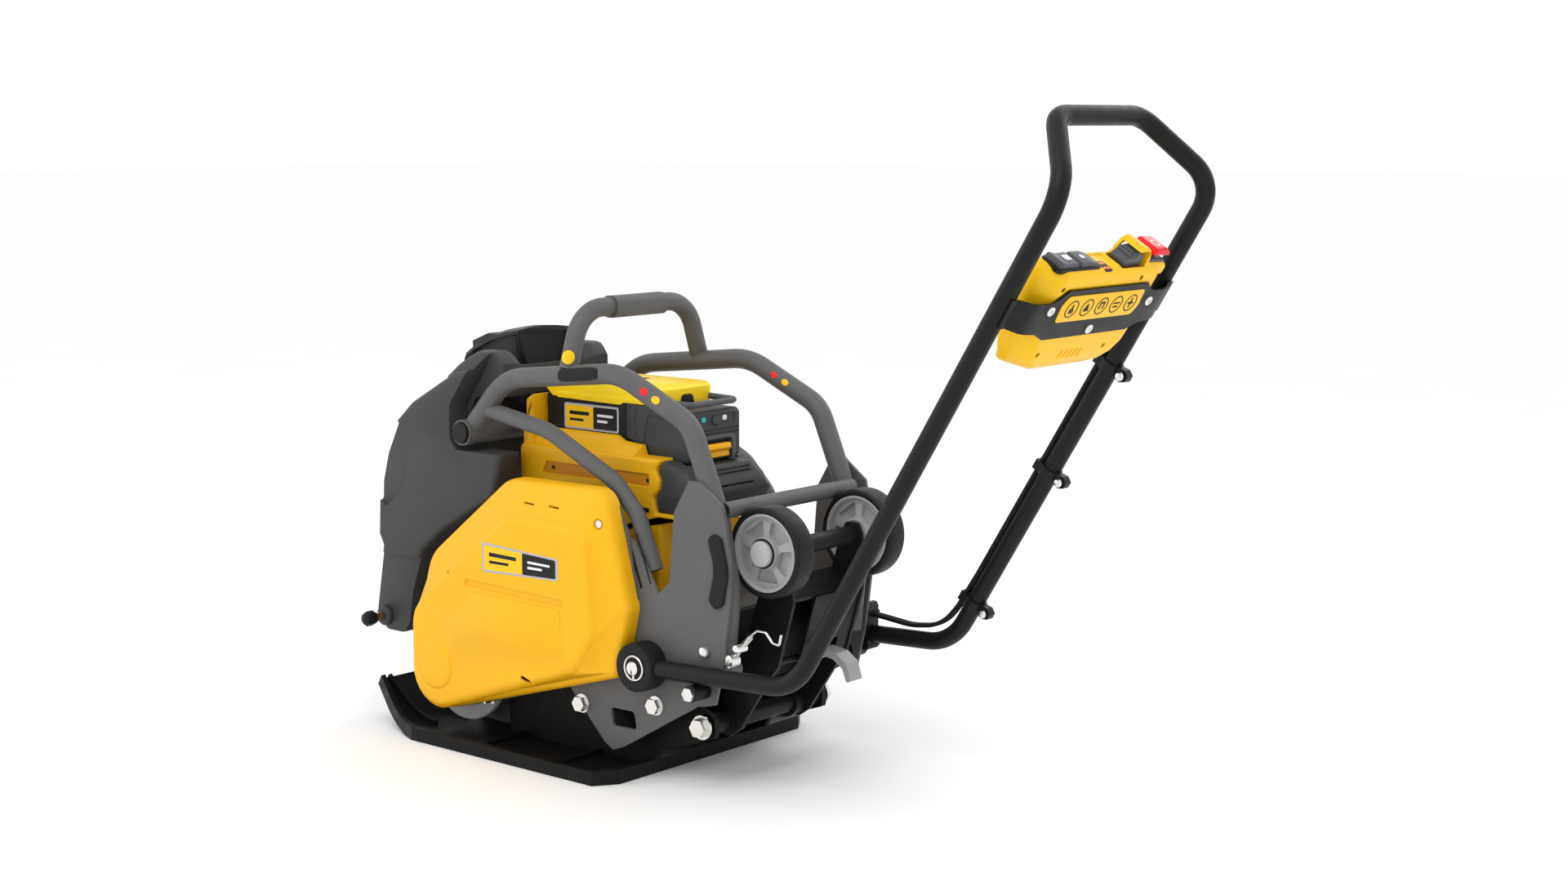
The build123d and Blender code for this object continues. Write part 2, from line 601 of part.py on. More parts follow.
# ---- water tank ---------------------------------------------------------------------------------
TANK_HALF = 165.0
TANK_CHAMFER = 16.0
FILLER = (-190.0, 0.0)  # filler neck (x, y)
FILLER_R = 21.0
VALVE = (-334.0, 172.0)
LID_HINGE = (-273.0, 527.0)
LID_HALF = 60.0
TANK_OUTLINE = [(-292, 150), (-327, 156), (-344, 178), (-347, 260), (-335, 402), (-318, 448), (-287, 504),
                (-250, 536), (-125, 604), (-60, 612), (-42, 596), (-42, 470), (-60, 402), (-185, 335),
                (-240, 292), (-268, 222), (-276, 165)]
TANK_ROOM = [(-296, 156), (-324, 162), (-338, 180), (-341, 260), (-329, 400), (-313, 444), (-282, 499),
             (-247, 530), (-163, 576), (-163, 352), (-188, 341), (-246, 296), (-274, 224), (-282, 170)]


def upright_ring(z, x0, x1, y0, y1):
    return Pos((x0 + x1) / 2, (y0 + y1) / 2, z) * Rectangle(x1 - x0, y1 - y0)


def tank_body():
    """Hollow tank that hooks over the front cross tube, with a shoulder each side of the filler neck."""
    middle = slab(TANK_OUTLINE, TANK_CHAMFER - TANK_HALF, TANK_HALF - TANK_CHAMFER)
    side = Plane((0, TANK_HALF - TANK_CHAMFER, 0), x_dir=(1, 0, 0), z_dir=(0, -1, 0))
    edge = Plane((0, TANK_HALF, 0), x_dir=(1, 0, 0), z_dir=(0, -1, 0))
    cheek = loft([side * xz_face(TANK_OUTLINE), edge * cover_face(TANK_OUTLINE, TANK_CHAMFER)], ruled=True)
    shoulder = loft([upright_ring(560, -190, -70, 64, 158), upright_ring(634, -130, -96, 80, 120)], ruled=True)
    solid = middle + both(cheek) + both(shoulder)
    tube_room = slab([(-152, 556), (-152, 340), (0, 340), (0, 700), (-78, 700), (-78, 556)], -122, 122)
    rail_room = both(slab([(-158, 470), (-134, 450), (-30, 450), (-30, 700), (-62, 700), (-120, 600), (-158, 545)],
                          121, 200))
    neck = Pos(*FILLER, 584) * Cylinder(FILLER_R + 6, 44)
    boss = pin(VALVE, 13, -TANK_HALF - 3, -TANK_HALF + 20)
    room = slab(TANK_ROOM, TANK_CHAMFER + 5 - TANK_HALF, TANK_HALF - TANK_CHAMFER - 5)
    over_room = slab([(-170, 562), (-170, 573), (-125, 598), (-84, 604), (-84, 562)], -116, 116)
    filler = Pos(*FILLER, 590) * Cylinder(FILLER_R, 90)
    lugs = both(slab([(-262, 520), (-266, 534), (-280, 534), (-280, 505)], 46, 52)) - pin(LID_HINGE, 3, -60, 60)
    return (solid - tube_room - rail_room + neck + boss) - room - over_room - filler + lugs + pin(LID_HINGE, 3, -52, 52)


def tank_lid():
    """Hood over the filler; it tips forwards about the pin at its front edge."""
    hood = slab([(-263, 533), (-266, 562), (-258, 588), (-240, 614), (-212, 637), (-172, 655), (-132, 666),
                 (-113, 667), (-105, 611), (-125, 608), (-250, 541)], -LID_HALF, LID_HALF)
    room = slab([(-258, 520), (-262, 562), (-254, 586), (-237, 610), (-210, 632), (-171, 650), (-132, 661),
                 (-118, 662), (-108, 600), (-125, 590)], 4 - LID_HALF, LID_HALF - 4)
    knuckle = slab([(-279, 527), (-273, 533), (-255, 552), (-255, 536), (-266, 527), (-273, 521)], -44, 44)
    return hood + knuckle - room - pin(LID_HINGE, 3 + RUN, -70, 70)


def water_valve():
    stem = pin(VALVE, 6, -188, -TANK_HALF - 3.3)
    knob = pin(VALVE, 11, -210, -188)
    return stem + knob + box(VALVE[0] - 4, VALVE[0] + 4, -206, -192, VALVE[1], VALVE[1] + 24)


# ---- carriage -----------------------------------------------------------------------------------
def carriage_pivot_tube():
    return ring(CARRIAGE_PIVOT, PIVOT_TUBE_R - 3, PIVOT_TUBE_R, -140, 140)


ARM_IN, ARM_OUT = 80.0, 86.0
ARM_OUTLINE = [(350, 84), (360, 70), (380, 68), (400, 82), (462, 172), (476, 190), (506, 290), (504, 376),
               (496, 392), (474, 392), (466, 376), (440, 300), (408, 210), (356, 108)]


def carriage_frame():
    arm = slab(ARM_OUTLINE, ARM_IN, ARM_OUT, 5)
    sleeve = pin(CARRIAGE_PIVOT, PIVOT_TUBE_R + 6, 60, 92)
    panel = slab([(466, 184), (471, 183), (505, 294), (500, 295)], -30, ARM_IN) - box(450, 490, 5, 53, 180, 216)
    inner_panel = slab([(385, 150), (389, 148), (452, 316), (448, 318)], -ARM_IN, ARM_IN)
    channel = slab([(448, 312), (500, 292), (502, 297), (450, 317)], -ARM_IN, ARM_IN)
    pedal_pin = pin(PEDAL_PIVOT, 5, -ARM_IN, ARM_IN)
    frame = both(arm + sleeve) + panel + inner_panel + channel + pedal_pin
    bores = pin(CARRIAGE_PIVOT, PIVOT_TUBE_R + RUN, -120, 120) + pin(WHEEL_AXLE, AXLE_R, -120, 120)
    return frame - bores


def wheel_axle():
    axle = pin(WHEEL_AXLE, AXLE_R, -136, 136)
    spacer = ring(WHEEL_AXLE, AXLE_R, 14, -ARM_IN, ARM_IN)
    caps = both(pin(WHEEL_AXLE, 15, 132, 137))
    return axle + spacer + caps


def wheel_hub():
    rim = ring(WHEEL_AXLE, HUB_R - 6, HUB_R, WHEEL_IN + 3, WHEEL_OUT - 3)
    boss = ring(WHEEL_AXLE, AXLE_R + RUN, 24, WHEEL_IN, WHEEL_OUT)
    web = ring(WHEEL_AXLE, 23, HUB_R - 5, 106, 112)
    spokes = []
    for k in range(5):
        spoke = box(WHEEL_AXLE[0] + 23, WHEEL_AXLE[0] + HUB_R - 5, 96, 125, WHEEL_AXLE[1] - 5, WHEEL_AXLE[1] + 5)
        spokes += [spoke.rotate(Axis((WHEEL_AXLE[0], 0, WHEEL_AXLE[1]), (0, 1, 0)), 72 * k + 18)]
    return rim + boss + web + spokes


def wheel_tyre():
    tyre = ring(WHEEL_AXLE, HUB_R, TYRE_R, WHEEL_IN, WHEEL_OUT)
    return fillet(tyre.edges().filter_by(GeomType.CIRCLE).group_by(SortBy.RADIUS)[-1], 4)


def foot_pedal():
    """Bent strap that is pressed down with the foot to free the wheels."""
    strap = slab([(452, 182), (455, 202), (480, 204), (508, 200), (528, 186), (536, 160), (529, 157), (520, 178),
                  (502, 190), (478, 193), (468, 184)], 14, 44, 3)
    hub = pin(PEDAL_PIVOT, 11, 10, 48)
    return strap + hub - pin(PEDAL_PIVOT, 5 + RUN, -100, 100)


# ---- assembly -----------------------------------------------------------------------------------
# Pieces that a fastener or a lead passes through: (piece, what passes).
DRILLED = [("base_plate", "mount_bolts"), ("side_plate_left", "mount_bolts"), ("side_plate_right", "mount_bolts"),
           ("side_plate_left", "handle_pivot_bolts"), ("side_plate_right", "handle_pivot_bolts"),
           ("exciter_caps", "exciter_cap_bolts"), ("exciter_housing", "exciter_cap_bolts"),
           ("belt_cover", "cover_screws"), ("belt_back_plate", "cover_screws"),
           ("console_bracket", "console_screws"), ("console_top_shell", "console_screws"),
           ("console_bottom_shell", "console_screws"), ("console_bottom_shell", "control_cable"),
           ("console_top_shell", "control_cable")]


def build():
    nodes["base_plate"] = base_plate()
    nodes["exciter_housing"] = exciter_housing()
    nodes["exciter_bearings"] = exciter_bearings()
    nodes["exciter_caps"] = exciter_caps()
    nodes["exciter_cap_bolts"] = exciter_cap_bolts()
    nodes["exciter_shaft"] = exciter_shaft()
    nodes["exciter_pulley"] = pulley(EXCITER, EXCITER_PULLEY_R, EXCITER_SHAFT_R)
    nodes["drive_belt"] = drive_belt()
    nodes["motor_housing"] = motor_housing()
    nodes["motor_rotor"] = motor_rotor()
    nodes["motor_pulley"] = pulley(MOTOR, MOTOR_PULLEY_R, MOTOR_SHAFT_R)
    nodes["belt_back_plate"] = belt_back_plate()
    nodes["belt_cover"] = belt_cover()
    nodes["cover_screws"] = cover_screws()
    nodes["rubber_mounts"] = rubber_mounts()
    nodes["mount_bolts"] = mount_bolts()
    nodes["deck_plate"] = deck_plate()
    front = front_tube(21)
    for name, side in (("left", -1), ("right", 1)):
        nodes["rail_" + name] = rail(side, 2.5) - front
        nodes["brace_" + name] = brace(side, 2.5) - rail(side)
    nodes["front_cross_tube"] = front - front_tube(18)
    nodes["rear_cross_tube"] = ring(REAR_TUBE, 10, 12.5, -RAIL_Y, RAIL_Y) - rail(-1) - rail(1)
    nodes["side_plate_right"] = side_plate()
    nodes["side_plate_left"] = right_of(side_plate())
    nodes["stop_tubes"] = stop_tubes()
    nodes["lifting_bail"] = lifting_bail()
    nodes["lifting_grip"] = lifting_grip()
    nodes["frame_pads"] = frame_pads()
    nodes["power_housing"] = power_housing()
    nodes["battery_cradle"] = battery_cradle()
    nodes["battery_case"] = battery_case()
    nodes["battery_cover"] = battery_cover()
    nodes["battery_latch"] = battery_latch()
    nodes["charge_button"] = charge_button()
    nodes["tank_body"] = tank_body()
    nodes["tank_lid"] = tank_lid()
    nodes["water_valve"] = water_valve()
    nodes["carriage_pivot_tube"] = carriage_pivot_tube()
    nodes["carriage_frame"] = carriage_frame()
    nodes["wheel_axle"] = wheel_axle()
    nodes["foot_pedal"] = foot_pedal()
    nodes["wheel_hub_right"] = wheel_hub()
    nodes["wheel_hub_left"] = right_of(wheel_hub())
    nodes["tyre_right"] = wheel_tyre()
    nodes["tyre_left"] = right_of(wheel_tyre())
    nodes["handle_pivot_bolts"] = handle_pivot_bolts()
    nodes["handle_bushings"] = handle_bushings()
    nodes["handle_frame"] = handle_frame()
    nodes["console_top_shell"] = console_top_shell()
    nodes["console_bottom_shell"] = console_bottom_shell()
    nodes["console_bracket"] = console_bracket()
    nodes["console_screws"] = console_screws()
    nodes["power_rocker"] = power_rocker()
    nodes["speed_button"] = speed_button()
    nodes["start_lever"] = start_lever()
    nodes["lever_guard"] = lever_guard()
    nodes["stop_button"] = stop_button()
    nodes["control_cable"] = control_cable()
    nodes["cable_clips"] = cable_clips()
    for name, fastener in DRILLED:
        nodes[name] = nodes[name] - nodes[fastener]


build()
os.makedirs("parts", exist_ok=True)
for name, part in nodes.items():
    export_step(part, f"parts/{name}.step")
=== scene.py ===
"""Looks of the battery plate compactor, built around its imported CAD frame."""
from math import atan2, copysign, cos, pi, radians, sin, tan

import bmesh
import bpy
from mathutils import Matrix, Vector


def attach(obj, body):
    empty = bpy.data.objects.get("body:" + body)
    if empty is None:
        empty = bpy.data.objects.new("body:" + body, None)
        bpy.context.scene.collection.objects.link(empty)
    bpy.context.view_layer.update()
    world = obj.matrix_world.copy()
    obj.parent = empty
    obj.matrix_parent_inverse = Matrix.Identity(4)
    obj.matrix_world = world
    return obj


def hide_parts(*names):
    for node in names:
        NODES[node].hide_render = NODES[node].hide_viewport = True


MM = 0.001
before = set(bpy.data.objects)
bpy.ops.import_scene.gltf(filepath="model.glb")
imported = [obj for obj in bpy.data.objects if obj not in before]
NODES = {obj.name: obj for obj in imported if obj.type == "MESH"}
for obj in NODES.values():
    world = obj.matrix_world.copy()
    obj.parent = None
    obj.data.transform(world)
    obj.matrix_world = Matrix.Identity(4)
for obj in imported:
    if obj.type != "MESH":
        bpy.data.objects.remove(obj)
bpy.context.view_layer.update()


# ---- materials ----
def node_tree(name):
    mat = bpy.data.materials.new(name)
    mat.use_nodes = True
    tree = mat.node_tree
    return mat, tree, tree.nodes["Principled BSDF"]


def noise(tree, scale, detail):
    """A noise texture in object space; scale is in features per metre."""
    where = tree.nodes.new("ShaderNodeTexCoord")
    tex = tree.nodes.new("ShaderNodeTexNoise")
    tex.inputs["Scale"].default_value = scale
    tex.inputs["Detail"].default_value = detail
    tex.inputs["Roughness"].default_value = 0.55
    tree.links.new(where.outputs["Object"], tex.inputs["Vector"])
    return tex


def ramp(tree, source, stops):
    """A colour ramp fed by source; stops is a list of (position, colour)."""
    node = tree.nodes.new("ShaderNodeValToRGB")
    elements = node.color_ramp.elements
    while len(elements) < len(stops):
        elements.new(0.5)
    for element, (position, colour) in zip(elements, stops):
        element.position = position
        element.color = (*colour, 1.0)
    tree.links.new(source, node.inputs["Fac"])
    return node


def tint(colour, gain):
    return tuple(min(1.0, c * gain) for c in colour)


def grey(value):
    return (value, value, value)


def finish_nodes(tree, shader, colour, rough, spread, grain, depth, patch=6.0, rough_spread=0.08):
    """Colour and roughness that drift over the surface, with a fine bump grain of depth metres."""
    link = tree.links.new
    drift = noise(tree, patch, 5.0)
    shade = ramp(tree, drift.outputs["Fac"], [(0.3, tint(colour, 1 - spread)),
        (0.7, tint(colour, 1 + spread))])
    link(shade.outputs["Color"], shader.inputs["Base Color"])
    gloss = noise(tree, patch * 7, 3.0)
    rough_ramp = ramp(tree, gloss.outputs["Fac"], [(0.3, grey(rough - rough_spread)),
        (0.7, grey(rough + rough_spread))])
    link(rough_ramp.outputs["Color"], shader.inputs["Roughness"])
    pits = noise(tree, grain, 2.0)
    bump = tree.nodes.new("ShaderNodeBump")
    bump.inputs["Strength"].default_value = 1.0
    bump.inputs["Distance"].default_value = depth
    link(pits.outputs["Fac"], bump.inputs["Height"])
    link(bump.outputs["Normal"], shader.inputs["Normal"])


def coated_metal(name, colour, rough=0.42, grain=900.0, depth=0.00012, shine=0.3):
    """Powder-coated or painted steel: a fine orange peel under a satin film."""
    mat, tree, shader = node_tree(name)
    finish_nodes(tree, shader, colour, rough, 0.06, grain, depth)
    shader.inputs["Specular IOR Level"].default_value = shine
    return mat


def moulded(name, colour, rough=0.42, grain=1500.0, depth=0.00006, spread=0.03, shine=0.25):
    """Moulded plastic with a fine spark-eroded texture."""
    mat, tree, shader = node_tree(name)
    finish_nodes(tree, shader, colour, rough, spread, grain, depth, patch=3.0, rough_spread=0.05)
    shader.inputs["Specular IOR Level"].default_value = shine
    return mat


def rubbery(name, colour, rough=0.62):
    mat, tree, shader = node_tree(name)
    finish_nodes(tree, shader, colour, rough, 0.12, 700.0, 0.00015, patch=20.0)
    shader.inputs["Specular IOR Level"].default_value = 0.2
    return mat


def bare_metal(name, colour, rough=0.28, grain=2500.0, depth=0.00003):
    mat, tree, shader = node_tree(name)
    finish_nodes(tree, shader, colour, rough, 0.08, grain, depth, patch=30.0)
    shader.inputs["Metallic"].default_value = 1.0
    return mat


YELLOW = moulded("yellow_moulding", (0.86, 0.445, 0.005), 0.40)
CONSOLE_YELLOW = moulded("console_moulding", (0.93, 0.54, 0.004), 0.38)
# The cover yellow darkened as painted shade, for the floor of a recess.
YELLOW_PAINTED_SHADE = moulded("yellow_recess_painted_shade", (0.60, 0.24, 0.006), 0.5)
# A lemon yellow for the battery top, made brighter as a painted highlight of the light falling on its top.
BATTERY_YELLOW_PAINTED_LIGHT = moulded("battery_yellow_painted_light", (0.95, 0.66, 0.006), 0.38)
TANK_GREY = moulded("tank_grey", (0.046, 0.046, 0.047), 0.5, 1100.0, 0.0001)
TANK_DARK = moulded("tank_hood_grey", (0.026, 0.026, 0.027), 0.5, 1100.0, 0.0001)
DARK_GREY = moulded("dark_grey_moulding", (0.046, 0.047, 0.050), 0.45)
KEY_GREY = moulded("key_grey", (0.080, 0.084, 0.092), 0.42)
BLACK = moulded("black_moulding", grey(0.009), 0.42, shine=0.2)
FRAME_GREY = coated_metal("frame_powder_coat", (0.100, 0.100, 0.101), 0.5, 900.0, 0.00008)
HANDLE_BLACK = coated_metal("handle_powder_coat", (0.007, 0.007, 0.0075), 0.42, 900.0, 0.00008, 0.2)
PLATE_BLACK = coated_metal("plate_casting", (0.0055, 0.0052, 0.005), 0.48, 420.0, 0.0003, 0.15)
CASTING_GREY = coated_metal("exciter_casting", grey(0.12), 0.5, 420.0, 0.0003)
RUBBER = rubbery("rubber_black", grey(0.012))
TYRE = rubbery("tyre_rubber", grey(0.009), 0.45)
ZINC = bare_metal("zinc_bolt", (0.78, 0.77, 0.75), 0.26)
STEEL = bare_metal("machined_steel", (0.56, 0.55, 0.53), 0.34)
BRASS = bare_metal("brass_stem", (0.55, 0.38, 0.17), 0.34)
PEDAL_GREY = coated_metal("pedal_strap", grey(0.30), 0.34)
PALE_DISC = coated_metal("pale_disc", grey(0.42), 0.45)
HUB_GREY = moulded("hub_grey_moulding", (0.34, 0.345, 0.35), 0.36, shine=0.4)
RED = moulded("red_button", (0.80, 0.012, 0.012), 0.30)
ALUMINIUM = bare_metal("cast_aluminium", (0.46, 0.46, 0.46), 0.42, 600.0, 0.0002)
CABLE = rubbery("cable_sheath", grey(0.009), 0.5)
LABEL_YELLOW = moulded("label_yellow", (0.90, 0.52, 0.006), 0.35)
LABEL_GREY = moulded("label_grey", (0.42, 0.43, 0.46), 0.35)
LABEL_WHITE = moulded("label_white", (0.75, 0.76, 0.78), 0.35)
LIGHT_TEAL = moulded("light_teal", (0.05, 0.42, 0.46), 0.3)
LIGHT_AMBER = moulded("light_amber", (0.80, 0.20, 0.02), 0.3)
FLOOR = moulded("floor_pale", grey(0.94), 0.8, 300.0, 0.00002, 0.01)

USUAL_SLOT = {look: slot for slot, looks in (
    ("dark_plastic", (BLACK, KEY_GREY, TANK_GREY, DARK_GREY, TANK_DARK, LABEL_WHITE, LIGHT_AMBER)),
    ("yellow_plastic", (YELLOW, CONSOLE_YELLOW, BATTERY_YELLOW_PAINTED_LIGHT, YELLOW_PAINTED_SHADE, LABEL_YELLOW)),
    ("steel", (BRASS, PALE_DISC)), ("zinc", (ZINC,)), ("rubber_black", (RUBBER,)), ("tyre_black", (TYRE,)),
    ("frame_grey", (FRAME_GREY,)), ("hub_grey", (HUB_GREY,)), ("red_plastic", (RED,))) for look in looks}


# ---- shaping helpers: all lengths in millimetres ----
class Rounded(list):
    """A closed outline from (u, v, radius) corners, each rounded by an arc of steps segments.

    It remembers its corners, so that it can be inset cleanly.
    """

    def __init__(self, corners, steps=6):
        super().__init__(arc_points(corners, steps))
        self.corners, self.steps = corners, steps


ARC_SHARE = 0.49  # the largest share of a side that the arc at one of its ends may take


def arc_points(corners, steps):
    points = []
    for i, (u, v, radius) in enumerate(corners):
        corner = Vector((u, v))
        back = Vector(corners[i - 1][:2]) - corner
        ahead = Vector(corners[(i + 1) % len(corners)][:2]) - corner
        half = back.angle(ahead) / 2
        radius = min(radius, ARC_SHARE * min(back.length, ahead.length) * tan(half))
        reach = radius / tan(half)
        centre = corner + (back.normalized() + ahead.normalized()).normalized() * (radius / sin(half))
        first = corner + back.normalized() * reach - centre
        last = corner + ahead.normalized() * reach - centre
        turn = atan2(first.x * last.y - first.y * last.x, first.dot(last))
        for k in range(steps + 1):
            c, s = cos(turn * k / steps), sin(turn * k / steps)
            points.append((centre.x + first.x * c - first.y * s, centre.y + first.x * s + first.y * c))
    return points


def area_of(points):
    return sum(a[0] * b[1] - b[0] * a[1] for a, b in zip(points, points[1:] + points[:1])) / 2


SHARPEST = 0.35  # limits how far an acute corner moves when its outline is inset
SMALLEST_RADIUS = 0.3


def inset(outline, depth):
    """The outline moved inwards by depth; the radii of its arcs shrink or grow to suit."""
    has_arcs = isinstance(outline, Rounded)
    points = [corner[:2] for corner in outline.corners] if has_arcs else list(outline)
    side = 1.0 if area_of(points) > 0 else -1.0
    moved = []
    for i, point in enumerate(points):
        before = (Vector(point) - Vector(points[i - 1])).normalized()
        after = (Vector(points[(i + 1) % len(points)]) - Vector(point)).normalized()
        along = (before + after).normalized()
        reach = depth / max(SHARPEST, along.dot(after))
        moved.append((point[0] - along.y * side * reach, point[1] + along.x * side * reach))
        if has_arcs:
            convex = (before.x * after.y - before.y * after.x) * side > 0
            radius = outline.corners[i][2]
            moved[-1] += (max(SMALLEST_RADIUS, radius - depth) if convex else radius + depth,)
    return Rounded(moved, outline.steps) if has_arcs else moved


def circle(at, radius, steps):
    """A closed outline round the point at."""
    turns = [2 * pi * k / steps for k in range(steps)]
    return [(at[0] + radius * cos(turn), at[1] + radius * sin(turn)) for turn in turns]


def even(points, radius, steps=6):
    """An outline whose corners all have one radius."""
    return Rounded([(u, v, radius) for u, v in points], steps)


def rectangle(u0, u1, v0, v1, radius):
    return even([(u0, v0), (u1, v0), (u1, v1), (u0, v1)], radius)


def add_object(name, data):
    made = bpy.data.objects.new(name, data)
    bpy.context.collection.objects.link(made)
    return made


def face_outwards(piece, weld=0.0):
    """Turns all faces outwards, after merging vertices closer than weld metres."""
    work = bmesh.new()
    work.from_mesh(piece.data)
    if weld:
        bmesh.ops.remove_doubles(work, verts=work.verts, dist=weld)
    bmesh.ops.recalc_face_normals(work, faces=work.faces)
    work.to_mesh(piece.data)
    work.free()


def loft(name, rings, ends=(True, True)):
    """A skin through rings of equal length, its two ends closed unless ends says not."""
    count = len(rings[0])
    vertices = [point for ring in rings for point in ring]
    faces = []
    for r in range(len(rings) - 1):
        for i in range(count):
            j = (i + 1) % count
            faces.append((r * count + i, r * count + j, (r + 1) * count + j, (r + 1) * count + i))
    if ends[0]:
        faces.append(tuple(range(count)))
    if ends[1]:
        faces.append(tuple(range((len(rings) - 1) * count, len(rings) * count)))
    mesh = bpy.data.meshes.new(name)
    mesh.from_pydata([Vector(v) * MM for v in vertices], [], faces)
    made = add_object(name, mesh)
    face_outwards(made)
    return made


def xz_ring(outline, y):
    return [(u, y, v) for u, v in outline]


def yz_ring(outline, x):
    return [(x, u, v) for u, v in outline]


def xy_ring(outline, z):
    return [(u, v, z) for u, v in outline]


def slab(name, outline, low, high, edge=1.0, ring=xz_ring, steps=3):
    """A plate between two planes, both its rims rounded by edge."""
    rings = []
    for k in range(steps + 1):
        t = pi / 2 * k / steps
        rings.append(ring(inset(outline, edge * (1 - sin(t))), low + edge * (1 - cos(t))))
    for k in range(steps + 1):
        t = pi / 2 * (1 - k / steps)
        rings.append(ring(inset(outline, edge * (1 - sin(t))), high - edge * (1 - cos(t))))
    return loft(name, rings)


def block(name, levels):
    """A body through rectangles with rounded corners: (z, x0, x1, y0, y1, radius) from the bottom up."""
    return loft(name, [xy_ring(rectangle(*level[1:]), level[0]) for level in levels])


def slab_x(*rest, **extra):
    return slab(*rest, ring=yz_ring, **extra)


def slab_z(*rest, **extra):
    return slab(*rest, ring=xy_ring, **extra)


def lathe(name, profile, at, steps=56):
    """A turned body about the Y axis through at = (x, z); profile is (radius, y) from end to end."""
    return loft(name, [xz_ring(circle(at, radius, steps), y) for radius, y in profile])


def ring_lathe(name, profile, at, steps=56):
    """A turned ring: its profile is a closed loop of (radius, y)."""
    rings = [xz_ring(circle(at, radius, steps), y) for radius, y in profile + profile[:1]]
    made = loft(name, rings, ends=(False, False))
    face_outwards(made, weld=0.00001)
    return made


def smooth_path(points, bend, steps=6):
    """A path through points, each inner corner rounded by bend."""
    path = [Vector(points[0])]
    for i in range(1, len(points) - 1):
        corner = Vector(points[i])
        back, ahead = Vector(points[i - 1]) - corner, Vector(points[i + 1]) - corner
        half = back.angle(ahead) / 2
        reach = min(bend / tan(half), ARC_SHARE * back.length, ARC_SHARE * ahead.length)
        first, last = corner + back.normalized() * reach, corner + ahead.normalized() * reach
        for k in range(steps + 1):
            t = k / steps
            path.append(first * (1 - t) ** 2 + corner * 2 * t * (1 - t) + last * t ** 2)
    path.append(Vector(points[-1]))
    return path


def rod(name, points, radius, bend):
    """A round bar along a path, as a mesh with rounded corners and capped ends."""
    curve = bpy.data.curves.new(name, "CURVE")
    curve.dimensions = "3D"
    curve.bevel_depth = radius * MM
    curve.bevel_resolution = 6
    curve.use_fill_caps = True
    path = smooth_path(points, bend)
    spline = curve.splines.new("POLY")
    spline.points.add(len(path) - 1)
    for place, point in zip(spline.points, path):
        place.co = (*(point * MM), 1.0)
    holder = add_object(name, curve)
    mesh = evaluated_mesh(holder)
    bpy.data.objects.remove(holder)
    bpy.data.curves.remove(curve)
    return add_object(name, mesh)


def evaluated_mesh(piece):
    bpy.context.view_layer.update()
    graph = bpy.context.evaluated_depsgraph_get()
    return bpy.data.meshes.new_from_object(piece.evaluated_get(graph))


def apply_modifiers(piece):
    mesh = evaluated_mesh(piece)
    piece.modifiers.clear()
    piece.data = mesh


def combine(piece, others, operation):
    """Booleans the others into piece and removes them."""
    for other in others:
        step = piece.modifiers.new("cut", "BOOLEAN")
        step.operation = operation
        step.solver = "EXACT"
        step.object = other
        apply_modifiers(piece)
        bpy.data.objects.remove(other)
    return piece


def cut(piece, *cutters):
    return combine(piece, cutters, "DIFFERENCE")


def unite(piece, *others):
    combine(piece, others, "UNION")


def join(name, *pieces):
    """Several meshes as one object, each keeping its own surface."""
    work = bmesh.new()
    for piece in pieces:
        piece.data.transform(piece.matrix_world)
        work.from_mesh(piece.data)
    mesh = bpy.data.meshes.new(name)
    work.to_mesh(mesh)
    work.free()
    for piece in pieces:
        bpy.data.objects.remove(piece)
    return add_object(name, mesh)


def soften(piece, width, angle):
    """Rounds the piece's edges that are sharper than angle."""
    bevel = piece.modifiers.new("soften", "BEVEL")
    bevel.width = width * MM
    bevel.segments = 2
    bevel.limit_method = "ANGLE"
    bevel.angle_limit = radians(angle)
    bevel.use_clamp_overlap = True
    apply_modifiers(piece)


def flip_side(mesh):
    """Mirrors a mesh across y = 0."""
    mesh.transform(Matrix.Diagonal((1, -1, 1, 1)))
    mesh.flip_normals()


def mirrored(piece):
    """A copy of the piece on the other side of y = 0."""
    mesh = piece.data.copy()
    flip_side(mesh)
    return add_object(piece.name + ".other", mesh)


def with_mirrors(pieces):
    return [copy for piece in pieces for copy in (mirrored(piece), piece)]


def both_sides(piece):
    """The piece and its mirror image across y = 0, as one object."""
    return join(piece.name, piece, mirrored(piece))


def place(piece, look, body, *replaced, slot=None, sharp=32.0):
    """Gives a piece its look and its body, and hides the nodes it stands for; its record slot is worked out
    but not kept.
    """
    piece.data.materials.clear()
    piece.data.materials.append(look)
    for face in piece.data.polygons:
        face.use_smooth = True
        face.material_index = 0
    piece.data.set_sharp_from_angle(angle=radians(sharp))
    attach(piece, body)
    slot = slot or USUAL_SLOT[look]
    if replaced:
        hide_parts(*replaced)


def disc(name, at, radius, low, high, edge=0.6, ring=xz_ring, steps=28):
    """A round plate about the point at, between two planes."""
    return slab(name, circle(at, radius, steps), low, high, edge, ring)


# ---- belt cover ----
COVER_EDGE = [(-204, 29, 80), (250, 160, 20), (276, 270, 25), (229, 450, 35), (14, 448, 60), (-172, 305, 80),
    (-204, 200, 60)]
COVER_FLAT = [(-193, 40, 72), (176, 166, 22), (219, 226, 30), (201, 386, 38), (30, 388, 50), (-160, 240, 60),
    (-190, 205, 50)]
COVER_BACK = -174


def cover_skin(name, shrink):
    edge, flat = Rounded(COVER_EDGE, 8), Rounded(COVER_FLAT, 8)
    rings = [xz_ring(inset(edge, shrink), COVER_BACK)]
    for depth, y in ((0.0, -189), (0.9, -195), (3.2, -200), (6.5, -203), (11.0, -204.6)):
        rings.append(xz_ring(inset(edge, depth + shrink), y + shrink))
    for depth, y in ((-8.0, -216), (-4.5, -221), (-1.0, -224), (3.5, -225.6), (8.0, -226)):
        rings.append(xz_ring(inset(flat, depth + shrink), y + shrink))
    return loft(name, rings)


